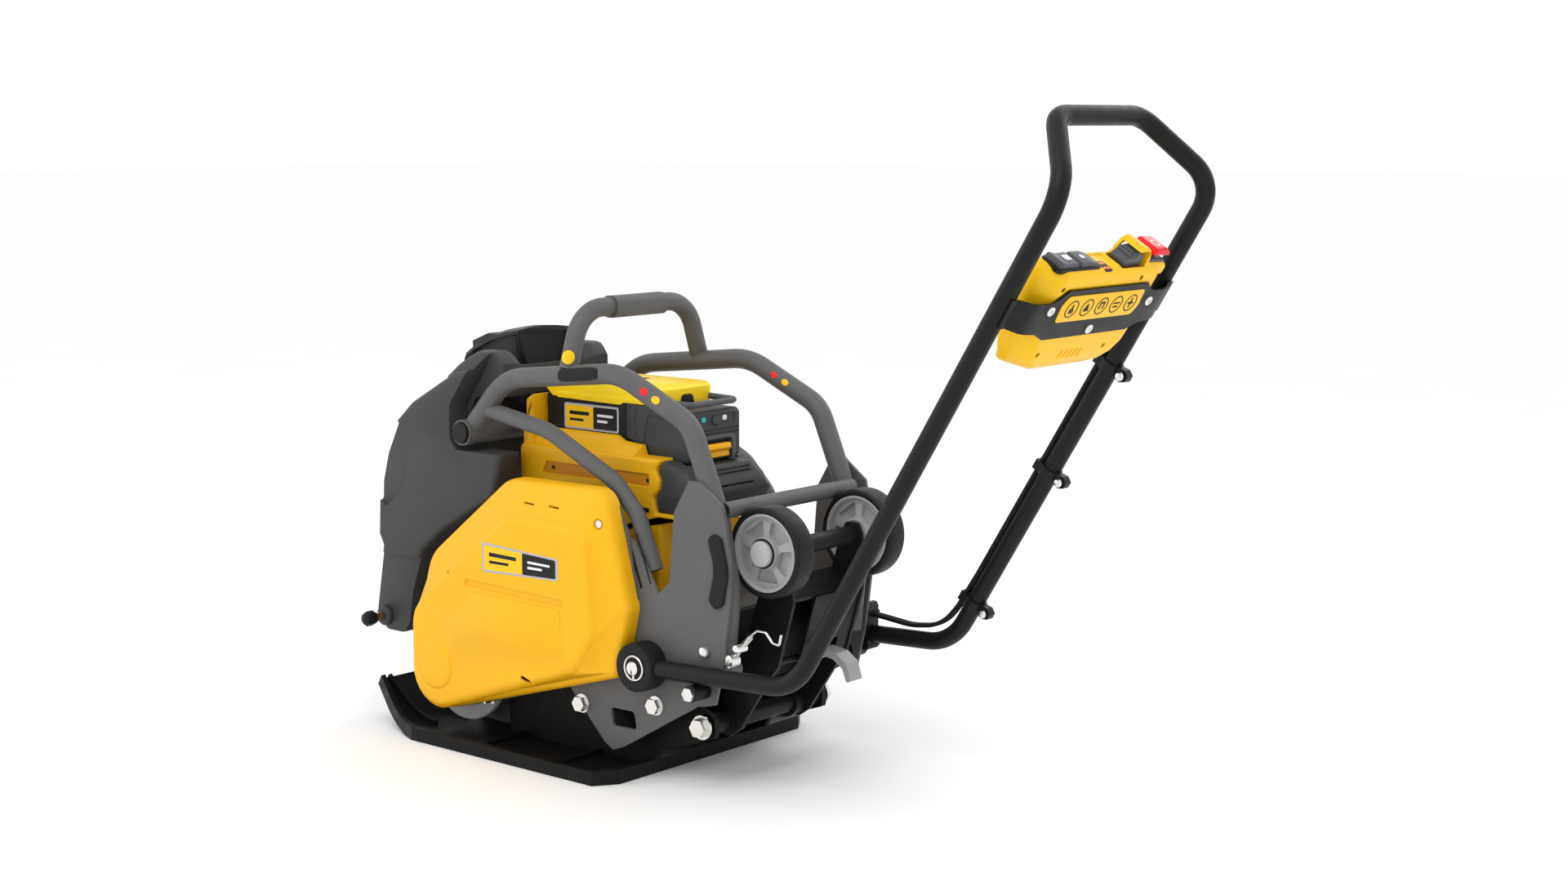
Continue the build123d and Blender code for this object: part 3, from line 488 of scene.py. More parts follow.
def belt_cover():
    cover = cover_skin("belt_cover_moulding", 0.0)
    hollow = cover_skin("hollow", 3.5)
    for vertex in hollow.data.vertices:
        if vertex.co.y > (COVER_BACK - 0.5) * MM:
            vertex.co.y = (COVER_BACK + 4) * MM
    bump = lathe("bump", [(42, -216), (42, -223.5), (40, -226.5), (37, -228.3), (33, -229), (5, -229)],
        (-137, 128))
    unite(cover, bump)
    ramp_top = Rounded([(-104, 208, 8), (-46, 261, 10), (153, 257, 4), (156, 180, 8), (-90, 172, 8)], 4)

    def tilted(outline, y):
        """Leans outwards above z = 180, by 1.6 mm in every 80 mm."""
        return [(u, y - 1.6 * max(0.0, (v - 180) / 80), v) for u, v in outline]
    panel = loft("panel", [tilted(ramp_top, -222), tilted(ramp_top, -225.4), tilted(inset(ramp_top, 1.2),
        -226.1)])
    unite(cover, panel)
    groove = slab("groove", even([(-66, 269), (160, 263), (162, 274), (-58, 281)], 5, 4), -240, -223.2, 1.2)
    slots = [slab("slot", even([(x, 413), (x + 23, 412), (x + 23, 416), (x, 417)], 1.5, 2), -225, -206.5, 0.4)
        for x in (62, 117)]
    recess = lathe("recess", [(8.5, -240), (8.5, -208), (7, -205), (2, -205)], (222, 398))
    hole = lathe("hole", [(2.6, -240), (2.6, -212), (1, -212)], (-104, 285))
    notch = slab("notch", even([(62, 136), (66, 142), (90, 133), (86, 127)], 2, 2), -232, -218, 0.8)
    cut(cover, hollow, groove, *slots, recess, hole, notch)
    place(cover, YELLOW, "chassis", "belt_cover", sharp=38)


def badge(name, corners, y, body, side=-1):
    """A plain two-tone plate with a pale border; its corners (x, z) run from the lower left."""
    (x0, z0), (x1, z1), (x2, z2), (x3, z3) = corners
    outline = even([(x0, z0), (x1, z1), (x2, z2), (x3, z3)], 4, 4)

    def along(t, low, high):
        x, bottom, top = x0 + (x1 - x0) * t, z0 + (z1 - z0) * t, z3 + (z2 - z3) * t
        return (x, bottom + (top - bottom) * low), (x, bottom + (top - bottom) * high)

    def field(t0, t1, low, high, radius=1.0):
        (a, b), (c, d) = along(t0, low, high), along(t1, low, high)
        return Rounded([(*a, radius), (*c, radius), (*d, radius), (*b, radius)], 3)
    layers = [("border", [outline], LABEL_GREY, 0.5),
              ("light_half", [field(0.03, 0.54, 0.08, 0.92, 2.5)], LABEL_YELLOW, 0.8),
              ("dark_half", [field(0.54, 0.97, 0.08, 0.92, 2.5)], BLACK, 0.8),
              ("dark_bars", [field(0.10, 0.46, 0.56, 0.70), field(0.10, 0.36, 0.32, 0.42)], BLACK, 1.0),
              ("pale_bars", [field(0.61, 0.90, 0.56, 0.66), field(0.61, 0.80, 0.34, 0.44)], LABEL_WHITE, 1.0)]
    for layer, outlines, look, proud in layers:
        low, high = (y - proud, y + 0.4) if side < 0 else (y - 0.4, y + proud)
        plates = [slab(f"{name}_{layer}", shape, low, high, 0.15, steps=1) for shape in outlines]
        place(join(f"{name}_{layer}", *plates), look, body, slot="dark_plastic")


# ---- water tank ----
TANK_SIDE = [(-290, 147, 14), (-334, 147, 16), (-360, 172, 20), (-337, 294, 5), (-347, 312, 8),
    (-342, 402, 30), (-328, 450, 30), (-298, 508, 26), (-256, 544, 30), (-152, 600, 30), (-122, 607, 16),
    (-60, 612, 16), (-43, 596, 10), (-43, 470, 20), (-60, 402, 20), (-185, 335, 30), (-240, 292, 40),
    (-266, 222, 40), (-277, 165, 14)]
HINGE = (-273, 527)
FILLER = (-190, 0)


def tank_body():
    tank = slab("tank_moulding", Rounded(TANK_SIDE, 5), -165, 165, 10, steps=5)
    levels = [(556, -192, -58, 60, 162, 20), (592, -182, -66, 66, 157, 20), (612, -164, -76, 72, 146, 18),
        (624, -150, -84, 78, 136, 16), (632, -138, -90, 84, 127, 13), (635, -130, -96, 90, 120, 10)]
    shoulder = block("shoulder", levels)
    unite(tank, mirrored(shoulder), shoulder)
    neck = loft("neck", [xy_ring(circle(FILLER, r, 32), z) for r, z in ((27, 560), (27, 600), (25.5, 604),
        (23, 605))])
    unite(tank, neck)
    tube_room = slab("tube_room", Rounded([(-152, 560, 20), (-152, 340, 2), (0, 340, 2), (0, 700, 2),
        (-78, 700, 2), (-78, 560, 6)], 5), -122, 122, 4)
    rail_room = slab("rail_room", Rounded([(-160, 490, 12), (-146, 474, 12), (-30, 474, 5), (-30, 700, 5),
        (-62, 700, 5), (-120, 600, 20), (-160, 546, 20)], 5), 121, 200, 4)
    front_notch = slab("front_notch", Rounded([(-380, 385, 5), (-322, 362, 8), (-287, 388, 14),
        (-269, 425, 20), (-265, 470, 14), (-277, 503, 8), (-330, 530, 5)], 5), 152, 200, 4)
    step = slab("step", even([(-380, 282), (-200, 282), (-200, 140), (-380, 140)], 4, 3), 158, 200, 3)
    bore = loft("bore", [xy_ring(circle(FILLER, 21, 32), z) for z in (545, 640)])
    cut(tank, tube_room, bore, *with_mirrors([rail_room, front_notch, step]))
    soften(tank, 2.5, 34)
    place(tank, TANK_GREY, "tank", "tank_body", sharp=40)
    strip = slab("strip", Rounded([(-330, 147, 6), (-351, 174, 8), (-331, 294, 6), (-340, 312, 8),
        (-336, 402, 30), (-321, 449, 30), (-292, 502, 26), (-252, 538, 30), (-204, 564, 8), (-208, 571, 4),
        (-260, 548, 30), (-303, 511, 26), (-334, 452, 30), (-348, 404, 30), (-353, 312, 8), (-343, 294, 6),
        (-364, 172, 12), (-334, 141, 10)], 4), -14, 14, 5, steps=3)
    place(strip, TANK_GREY, "tank")


def arch(x, half, edge_z, ridge_z):
    """Closed section of the hood at x: an arched skin with short skirts."""
    skirt, thick, count = 6, 4, 14
    outer = [(-half + 2 * half * k / count) for k in range(count + 1)]
    top = [(x, y, ridge_z - (ridge_z - edge_z) * (y / half) ** 2) for y in outer]
    inner_half = half - thick
    under = [(x, y * inner_half / half, ridge_z - thick - (ridge_z - edge_z) * (y / half) ** 2)
        for y in reversed(outer)]
    foot = edge_z - skirt
    return [(x, -half, foot), *top, (x, half, foot), (x, inner_half, foot), *under, (x, -inner_half, foot)]


def tank_hood():
    stations = [(-264, 26, 590, 594), (-260, 38, 596, 602), (-250, 48, 607, 616), (-238, 54, 619, 630),
        (-212, 59, 633, 646), (-172, 60, 650, 661), (-132, 60, 661, 668), (-108, 60, 664, 669)]
    visor = loft("hood_visor", [arch(*station) for station in stations])
    throat_levels = [(540, -232, -120, 37), (600, -240, -116, 42), (640, -232, -112, 50),
        (655, -190, -112, 54)]
    throat = block("throat", [(z, x0, x1, -h, h, 10) for z, x0, x1, h in throat_levels])
    bore_levels = [(530, -232, -120, 37), (600, -240, -116, 42), (638, -232, -112, 50)]
    bore = block("bore", [(z, x0 + 4, x1 - 4, 4 - h, h - 4, 8) for z, x0, x1, h in bore_levels])
    cut(throat, bore)
    back = slab_x("back", Rounded([(-42, 606, 5), (42, 606, 5), (59, 662, 3), (30, 667, 30), (-30, 667, 30),
        (-59, 662, 3)], 4), -113, -107, 1)
    back_recess = slab_x("back_recess", Rounded([(-38, 610, 4), (38, 610, 4), (54, 658, 3), (-54, 658, 3)],
        4), -109, -100, 0.5)
    cut(back, back_recess)
    arms = [slab("arm", Rounded([(-279, 524, 6), (-267, 520, 6), (-246, 560, 6), (-236, 600, 4),
        (-246, 602, 4), (-262, 566, 8)], 4), y, y + 8, 1.2) for y in (-40, 32)]
    knuckles = [lathe("knuckle", [(7, y), (7, y + 10)], HINGE) for y in (-43, 33)]
    visor = join("tank_hood", visor, throat, *arms, *knuckles)
    place(visor, TANK_DARK, "tank_lid", "tank_lid", sharp=38)
    place(back, BLACK, "tank_lid")


def water_valve():
    at = (-334, 172)
    place(lathe("valve_collar", [(17, -160), (17, -166), (15, -168.5), (12, -169), (6, -169)], at), TANK_GREY,
        "tank")
    place(lathe("valve_stem", [(5.5, -168), (5.5, -171), (8, -172), (8, -184), (6, -185), (6, -190),
        (2, -190)], at, 6), BRASS, "water_valve", "water_valve", sharp=25)
    knob = lathe("valve_knob", [(7, -186), (10.5, -187.5), (11.5, -190), (11.5, -203), (10, -207),
        (6.5, -209.5), (1, -210)], at)
    ribs = [slab("rib", rectangle(at[0] - u, at[0] + u, at[1] - v, at[1] + v, 1.5), -205, -190, 1)
        for u, v in ((2, 13), (13, 2))]
    place(join("valve_knob", knob, *ribs), BLACK, "water_valve", slot="valve_black")


def plate_inlays():
    """Black caps on the open tube ends, painted shade for their dark insides; the pale disc under the belt
    cover; and slots and heads in the side plates, the slots as black strips of painted shade.
    """
    # The black domed caps on the tube ends are painted shade: they stand in for the dark inside of the open
    # tube ends.
    place(both_sides(lathe("plug", [(17, -172.5), (17, -175.5), (15.5, -177), (2, -177)], (-123, 505), 36)),
        BLACK, "chassis", slot="rubber_black")
    place(lathe("pale_disc", [(60, -150), (86, -150), (88, -152), (88, -161), (86, -163), (60, -163.5),
        (56, -161)], (-135, 112)), PALE_DISC, "chassis")
    # The side plates' slots are drawn as thin black strips on the plate: painted shade for the dark inside of
    # each slot.
    slots = []
    for (x0, z0), (x1, z1), width in (((246, 380), (276, 300), 5.0), ((268, 384), (296, 309), 2.6)):
        slots.append(slab("slot", even([(x0, z0), (x1, z1), (x1 + width, z1 + 1), (x0 + width, z0 + 1)], 1,
            2), -173.6, -172.4, 0.2, steps=1))
    place(both_sides(join("side_plate_slots_painted_shade", *slots)), BLACK, "chassis")
    place(both_sides(lathe("round_head", [(9, -172), (9, -178), (7.5, -181), (4, -182.4), (1, -182.6)],
        (409, 221), 32)), ZINC, "chassis")


# ---- battery and power housing ----
CHARGE_KEY = (0, 541)


def battery():
    body = block("battery_body", [(z, -43 + i, 142, -60 + i, 60 - i, 9) for i, z in ((3, 477), (0.8, 478.5),
        (0, 482), (0, 562), (1.5, 567))])
    corner_cut = slab("corner", Rounded([(-60, 545, 3), (-36, 545, 8), (-32, 520, 8), (-60, 512, 3)], 3), 54,
        80, 2)
    band = slab("band", Rounded([(-30, 500, 3), (136, 500, 3), (136, 503, 2), (-30, 503, 2)], 2), 58.6, 70,
        0.3)
    cut(body, *with_mirrors([corner_cut, band]))
    place(body, BLACK, "battery", "battery_case", slot="black_plastic")
    top = block("battery_top", [(z, -45 + i, 216 - i, -61.5 + i, 61.5 - i, 10) for i, z in ((0.6, 564),
        (0, 566), (0, 587), (0.8, 591), (2.6, 593.6), (6, 595))])
    nose = slab("nose", even([(-60, 590), (-46, 583), (-18, 560), (-60, 550)], 2, 3), -90, 90, 0.5)
    tail = slab("tail", Rounded([(196, 610, 2), (199, 597, 8), (214, 588, 6), (240, 586, 2), (240, 610, 2)],
        4), -90, 90, 0.5)
    rear_bay = slab_x("rear_bay", Rounded([(-20, 550, 3), (20, 550, 3), (13, 577, 7), (-13, 577, 7)], 5), 203,
        230, 1)
    cut(top, nose, tail, rear_bay)
    skirt = slab("skirt", Rounded([(-18, 568, 3), (-12, 562, 6), (128, 560, 5), (140, 566, 5), (200, 567, 3),
        (200, 572, 3), (-18, 572, 3)], 4), 60, 62, 0.6)
    # The battery top takes the brighter yellow: partly its own lemon tone, partly a painted highlight from
    # above.
    place(join("battery_top", top, both_sides(skirt)), BATTERY_YELLOW_PAINTED_LIGHT, "battery", "battery_cover", sharp=35)
    marks = [slab_z("mark", even([(x, -20), (x + w, -20), (x + w, 20), (x, 20)], 2, 3), 594.6, 595.3, 0.2)
        for x, w in ((70, 7), (84, 7), (98, 22))]
    place(join("battery_top_marks", *marks), BLACK, "battery")
    place(slab_x("battery_rear_knob", Rounded([(-19, 556, 3), (19, 556, 3), (12, 579, 8), (-12, 579, 8)], 6),
        203, 219, 3), BLACK, "battery", slot="black_plastic")
    badge("battery_badge_left", [(2, 513), (124, 513), (124, 555), (2, 555)], -60.2, "battery")
    badge("battery_badge_right", [(124, 513), (2, 513), (2, 555), (124, 555)], 60.2, "battery", side=1)


def battery_module():
    side = Rounded([(138, 566, 3), (138, 506, 4), (160, 500, 4), (172, 482, 6), (186, 477, 4), (268, 477, 8),
        (277, 486, 6), (277, 552, 8), (270, 558, 6), (224, 558, 4), (212, 566, 4)], 5)
    module = slab("battery_module", side, -59, 59, 5, steps=4)
    ribs = [slab("rib", rectangle(x, x + 6, 508, 560, 2.5), 57.8, 70, 0.8) for x in (146, 158)]
    panel = slab("panel", Rounded([(176, 500, 4), (264, 500, 4), (264, 548, 4), (186, 548, 8)], 4), 57.6, 70,
        0.8)
    display = slab_x("display", rectangle(-46, 46, 535, 553, 4), 275.2, 290, 0.6)
    grooves = [slab_x("groove", rectangle(-52, 52, z, z + 2.6, 1.2), 275.4, 290, 0.4) for z in (519.5, 525.5)]
    bay = slab_x("bay", rectangle(-34, 34, 477, 513.5, 5), 268, 290, 1)
    charge = loft("charge", [yz_ring(circle(CHARGE_KEY, 8.6, 32), x) for x in (262, 290)])
    cut(module, *with_mirrors(ribs + [panel]), display, *grooves, bay, charge)
    place(module, DARK_GREY, "battery", sharp=35)
    place(cut(slab_x("latch_frame", rectangle(-43, 43, 476.6, 518.6, 9), 271, 282, 2.5),
        slab_x("hole", rectangle(-33, 33, 470, 513, 6), 260, 290, 0.5)), KEY_GREY, "battery")
    place(rod("battery_ring_handle", [(196, -55, 565), (208, -55, 571), (272, -55, 569), (272, 55, 569),
        (208, 55, 571), (196, 55, 565)], 5.2, 14), KEY_GREY, "battery")
    for name, y, look in (("battery_light_teal", -27, LIGHT_TEAL), ("battery_light_white", 22, LABEL_WHITE)):
        place(slab_x(name, rectangle(y - 5, y + 5, 540, 548, 3), 275, 276.4, 0.4), look, "battery",
            slot="dark_plastic")
    latch = slab("battery_latch_paddle", Rounded([(270.5, 483, 1), (281, 483, 2), (279, 492, 2),
        (285, 497, 2), (283, 505, 2), (270.5, 505, 1)], 3), -29, 29, 1.5)
    place(latch, YELLOW, "battery_latch", "battery_latch")
    place(disc("charge_key", CHARGE_KEY, 7.6, 264, 278.5, 1.2, yz_ring), DARK_GREY, "charge_button",
        "charge_button")


def power_housing():
    side = Rounded([(-8, 251, 4), (-8, 318, 20), (-69, 372, 14), (-69, 486, 10), (246, 486, 3), (234, 469, 8),
        (243, 453, 5), (240, 438, 5), (229, 425, 6), (234, 402, 4), (300, 402, 3), (300, 396, 3),
        (246, 392, 5), (240, 251, 4)], 6)
    housing = slab("power_housing_moulding", side, -95, 95, 6, steps=4)
    horn = slab("horn", Rounded([(-69, 470, 4), (-69, 508, 34), (-58, 548, 30), (-48, 566, 8), (-46, 566, 1),
        (-46, 470, 1)], 6), -90, 90, 9, steps=5)
    stations = [(-58, 512, 82), (128, 512, 92), (143, 504, 92), (184, 501, 92), (191, 483, 92)]
    cheek = loft("cheek", [[(x, 60, 478), (x, out, 478), (x, out, 486), (x, 72, top - 3), (x, 67, top),
        (x, 60, top)] for x, top, out in stations])
    unite(housing, horn, mirrored(cheek), cheek)
    pocket = slab("pocket", even([(-46, 476), (300, 476), (300, 620), (-46, 620)], 1, 2), -62.5, 62.5, 1)
    room = slab("room", [(-2, 230), (-2, 324), (-64, 378), (-64, 468), (225, 468), (225, 376), (229, 370),
        (229, 230)], -89, 89, 0.5)
    strip = slab("strip", even([(-16, 441), (222, 441), (222, 462), (-6, 462)], 3, 4), 91.5, 120, 1)
    screw_holes = ((7, 452), (216, 451))
    holes = [disc("hole", at, 3.6, 80, 100, 0.2) for at in screw_holes]
    shaft_hole = disc("shaft_hole", (140, 318), 16, -120, -80, 0.2)
    cut(housing, pocket, room, shaft_hole, *with_mirrors([strip, *holes]))
    place(housing, YELLOW, "chassis", "power_housing", sharp=35)
    # The recess floor takes the darker yellow: painted shade in the recessed strip.
    place(both_sides(slab("recess_floor", even([(-15, 442), (221, 442), (221, 461), (-5, 461)], 3, 4), 90.8,
        91.9, 0.2)), YELLOW_PAINTED_SHADE, "chassis")
    # The black discs in the strip's screw holes are painted shade for the dark holes.
    plugs = [disc("plug", at, 3.5, 86, 92.3, 0.4) for at in screw_holes]
    place(both_sides(join("housing_screw_holes_painted_shade", *plugs)), BLACK, "chassis")
    clip = slab("housing_clip", Rounded([(196, 402, 2), (222, 402, 3), (222, 408, 3), (204, 409, 2),
        (202, 415, 2), (196, 415, 2)], 4), 94, 98, 1)
    place(both_sides(clip), BLACK, "chassis", slot="black_plastic")


def battery_cradle():
    levels = [(404, 72, 298, 8), (414, 76, 304, 8), (419, 92, 311, 10), (431, 94, 315, 10),
        (436, 88, 315, 10), (450, 80, 311, 10), (455, 76, 307, 8), (472, 63, 301, 8), (475, 60, 298, 8)]
    levels = [(z, 246, x1, -half, half, radius) for z, half, x1, radius in levels]
    rear = block("battery_cradle_moulding", levels)
    cheek = slab("cheek", Rounded([(236, 402, 3), (231, 425, 6), (242, 438, 5), (245, 453, 5), (236, 469, 8),
        (249, 484, 4), (266, 479, 10), (300, 452, 12), (306, 420, 10), (296, 402, 6)], 5), -93, 93, 7,
        steps=4)
    unite(rear, cheek)
    pocket = slab("pocket", rectangle(200, 330, 475.8, 500, 1), -62.5, 62.5, 1)
    ribs = [slab_x("rib", rectangle(-50, 50, z, z + 2.5, 1), 300, 330, 0.4) for z in (442, 460, 466)]
    cut(rear, pocket, *ribs)
    place(rear, DARK_GREY, "chassis", "battery_cradle", sharp=35)


# ---- wheels, handle pivots and fittings ----
WHEEL = (485, 373)
WHEEL_Y = 110


def wheel(side):
    """Hub with five recessed windows on both faces, tyre and the axle's domed cap."""
    tag = "left" if side < 0 else "right"
    half = [(59, 18), (56, 18.6), (54, 17), (52, 10), (26, 13), (24, 20), (21, 20.6), (19.5, 19), (11, 19)]
    profile = [(r, WHEEL_Y + y) for r, y in half] + [(r, WHEEL_Y - y) for r, y in reversed(half)]
    hub = ring_lathe("wheel_hub_moulding_" + tag, profile, WHEEL, 80)
    windows = []
    for k in range(5):
        middle = radians(72 * k + 54)
        corners = []
        for radius, spread in ((27.5, -26), (27.5, 26), (50.5, 27), (50.5, -27)):
            angle = middle + radians(spread)
            corners.append((WHEEL[0] + radius * cos(angle), WHEEL[1] + radius * sin(angle), 4))
        for low, high in ((112.6, 140), (80, 107.4)):
            windows.append(slab("window", Rounded(corners, 4), low, high, 2.0))
    cut(hub, *windows)
    tyre_profile = [(58.8, 92), (58.8, 128), (62, 129.6), (65.5, 129), (68, 126.5), (69, 122), (69, 98),
        (68, 93.5), (65.5, 91), (62, 90.4)]
    tyre = ring_lathe("wheel_tyre_" + tag, tyre_profile, WHEEL, 96)
    cap = lathe("axle_cap_" + tag, [(19.5, 128), (19.5, 136), (18.4, 137.6), (15, 138.2), (8, 138.8),
        (2, 139)], WHEEL)
    collar = ring_lathe("axle_collar_" + tag, [(19.6, 128), (19.6, 131.8), (22.6, 131.8), (22.6, 128)], WHEEL)
    if side < 0:
        for piece in (hub, tyre, cap, collar):
            flip_side(piece.data)
    place(hub, HUB_GREY, "wheel_" + tag, "wheel_hub_" + tag, sharp=34)
    place(tyre, TYRE, "wheel_" + tag, "tyre_" + tag)
    place(cap, PALE_DISC, "carriage", slot="zinc")
    place(collar, BLACK, "carriage", slot="rubber_black")


PIVOT = (295, 185)


def handle_pivots():
    tread = ring_lathe("handle_pivot_wheel", [(10.5, 176), (10.5, 206), (21, 206), (22, 209.5), (31, 210.5),
        (35, 209.5), (37.4, 206.5), (38, 203), (38, 181), (37, 177.5), (34, 175.8)], PIVOT, 72)
    place(both_sides(tread), RUBBER, "handle", "handle_bushings")
    place(both_sides(lathe("pivot_bowl", [(20.8, 200), (20.8, 207.5), (2, 207.5)], PIVOT)), BLACK, "chassis",
        slot="rubber_black")
    ring = ring_lathe("pivot_ring", [(17, 206), (17, 210.5), (17.6, 211.3), (19.2, 211.3), (20, 210.5),
        (20, 206)], PIVOT, 64)
    head = lathe("pivot_head", [(10.8, 206), (10.8, 213.5), (9.8, 215), (2, 215.4)], PIVOT)
    slot = slab("slot", rectangle(PIVOT[0] - 1.5, PIVOT[0] + 1.5, PIVOT[1] - 16, PIVOT[1] - 2, 1), 211, 230,
        0.2)
    stem = slab("stem", rectangle(PIVOT[0] - 2, PIVOT[0] + 2, PIVOT[1] - 17, PIVOT[1] - 6, 1), 206, 211, 0.4)
    cut(head, slot)
    shank = lathe("shank", [(10, 157), (10, 206)], PIVOT)
    place(both_sides(join("handle_pivot_bolt", ring, head, stem, shank,
        lathe("nut", [(13, 156), (15, 157.5), (15, 166.5), (13, 168)], PIVOT, 6))), ZINC, "chassis",
        "handle_pivot_bolts")


def frame_fittings():
    """The lock pin by the left side plate, with its spring clip, tab and foot."""
    pin_bar = rod("lock_pin", [(420, -152, 196), (436, -152, 203), (474, -144, 249)], 4.6, 6)
    knuckle = lathe("knuckle", [(8, -171), (10.5, -169), (10.5, -150), (8, -148)], (448, 211), 24)
    place(join("lock_pin", pin_bar, knuckle, lathe("nose", [(3, -173), (6.5, -171), (6.5, -150), (3, -148)],
        (466, 232), 24)), ZINC, "chassis")
    place(rod("spring_clip", [(466, -138, 247), (480, -138, 257), (497, -138, 257), (510, -138, 243),
        (523, -138, 241), (527, -138, 258)], 2.0, 5), ZINC, "chassis")
    place(slab("lock_tab", Rounded([(394, 186, 4), (428, 186, 6), (434, 206, 8), (424, 218, 8),
        (400, 212, 6)], 4), -169, -140, 2), FRAME_GREY, "chassis")
    place(lathe("rubber_foot", [(8, -168), (13, -165), (13.5, -140), (11, -137), (2, -136)], (440, 196), 28),
        FRAME_GREY, "chassis")


PATCH_POINTS = 40


def patch(name, centre, along, facing, radius, half_u, half_v, proud=0.25, square=2.0):
    """A thin skin bent round a tube: half_u along it and half_v round it; square 2 is an ellipse."""
    along, facing = Vector(along).normalized(), Vector(facing)
    facing = (facing - along * facing.dot(along)).normalized()
    across = along.cross(facing)

    def point(u, v, lift):
        angle = v / radius
        return Vector(centre) + along * u + (facing * cos(angle) + across * sin(angle)) * (radius + lift)
    outline = []
    for k in range(PATCH_POINTS):
        turn = 2 * pi * k / PATCH_POINTS
        c, s = cos(turn), sin(turn)
        outline.append((copysign(abs(c) ** (2 / square), c) * half_u, copysign(abs(s) ** (2 / square), s)
            * half_v))
    rings = [[point(u * t, v * t, lift) for u, v in outline] for t, lift in ((1.0, -0.3), (1.0, proud * 0.6),
        (0.97, proud), (0.66, proud * 1.05), (0.33, proud * 1.1))]
    return loft(name, rings, ends=(False, True))


RAIL_Y, RAIL_R = 152, 16
BAR_R = 14


def frame_pads():
    """Soft pads on the rails' outer sides and on the side plates' rear edges."""
    rail_pad = patch("rail_pad", (141, -RAIL_Y, 616.4), (253, 0, 26), (0, -1, 0.12), RAIL_R, 43, 10, 2.4, 5.0)
    plate_pad = slab("plate_pad", Rounded([(426, 403, 9), (417, 392, 8), (430, 349, 60), (418, 300, 8),
        (431, 288, 9), (446, 296, 8), (457, 346, 60), (443, 397, 8)], 5), -178.2, -172.5, 2.2)
    place(both_sides(join("frame_pads", rail_pad, plate_pad)), RUBBER, "chassis", "frame_pads")


def stickers():
    """Small plain coloured patches on the tubes, and the bolt heads in the cable clips."""
    toward, bar_toward = (0.64, -0.77, 0.1), (0.3, -0.8, 0.45)
    falling, bar = (147, 0, -67), (302, 0, 12)
    place(patch("bail_disc", (105, -150.5, 640), (0, 0.25, 1), toward, 15, 11, 11), LABEL_YELLOW, "chassis")
    for name, centre, size, look in (
            ("rail_red", (277, -RAIL_Y, 595.6), 8, RED),
            ("rail_yellow", (301, -RAIL_Y, 584.8), 8, LABEL_YELLOW),
            ("rail_red_other", (277, RAIL_Y, 595.6), 7, RED),
            ("rail_yellow_other", (300, RAIL_Y, 585.2), 7, LABEL_YELLOW)):
        sticker = patch(name, centre, falling, toward, RAIL_R, size, size - 2)
        place(sticker, look, "chassis", slot="yellow_plastic")
    for name, centre, look in (("bar_red", (474, -192, 192.2), RED), ("bar_yellow", (505, -192, 193.4),
            LABEL_YELLOW)):
        place(patch(name, centre, bar, bar_toward, BAR_R, 8, 6), look, "handle", slot="yellow_plastic")
    heads = []
    for s in CLIP_STATIONS:
        at = BEND + UP * s + OUT * 25
        heads.append(lathe("clip_bolt", [(6.4, 183), (6.4, 180), (5.2, 177.8), (2, 177.2)], (at.x, at.z), 28))
    place(join("clip_bolts", *heads), ZINC, "handle")


# ---- console ----
# Console pieces are shaped in the console's own frame (n, y, s): n towards the operator, y across,
# s up the tubes from their lower bend. on_console() then carries them to their place.
BEND, ELBOW = Vector((597, 0, 197)), Vector((1042, 0, 919))
UP = (ELBOW - BEND).normalized()
OUT = Vector((UP.z, 0, -UP.x))
TUBE_Y = 193  # y of the handle's tubes
CLIP_STATIONS = (83, 339, 535)  # s of the cable clips
CONSOLE = Matrix(((OUT.x, 0, UP.x, BEND.x * MM), (0, 1, 0, 0), (OUT.z, 0, UP.z, BEND.z * MM), (0, 0, 0, 1)))
SHELL_BACK = -25  # n of the shells' hidden face
TOP = 733  # s of the console's upper face
ICON_ROW = 678  # s of the icons' centres
ICON_SKIN = (32, 33.1, 0.2)  # their back and front, and the rounding of their edges
STOP_STEM = (0, 115)


def on_console(piece, *rest, **extra):
    piece.data.transform(CONSOLE)
    place(piece, *rest, **extra)


def shell_ring(s, shrink, left, right, front):
    """Plan of a console shell at s: its corners on the operator side are cut back."""
    front, back, left, right = front - shrink, SHELL_BACK + shrink, left + shrink, right - shrink
    return xy_ring(Rounded([(front, left + 34, 10), (front, right - 34, 10), (front - 24, right, 14),
        (back, right, 14), (back, left, 14), (front - 24, left, 14)], 5), s)


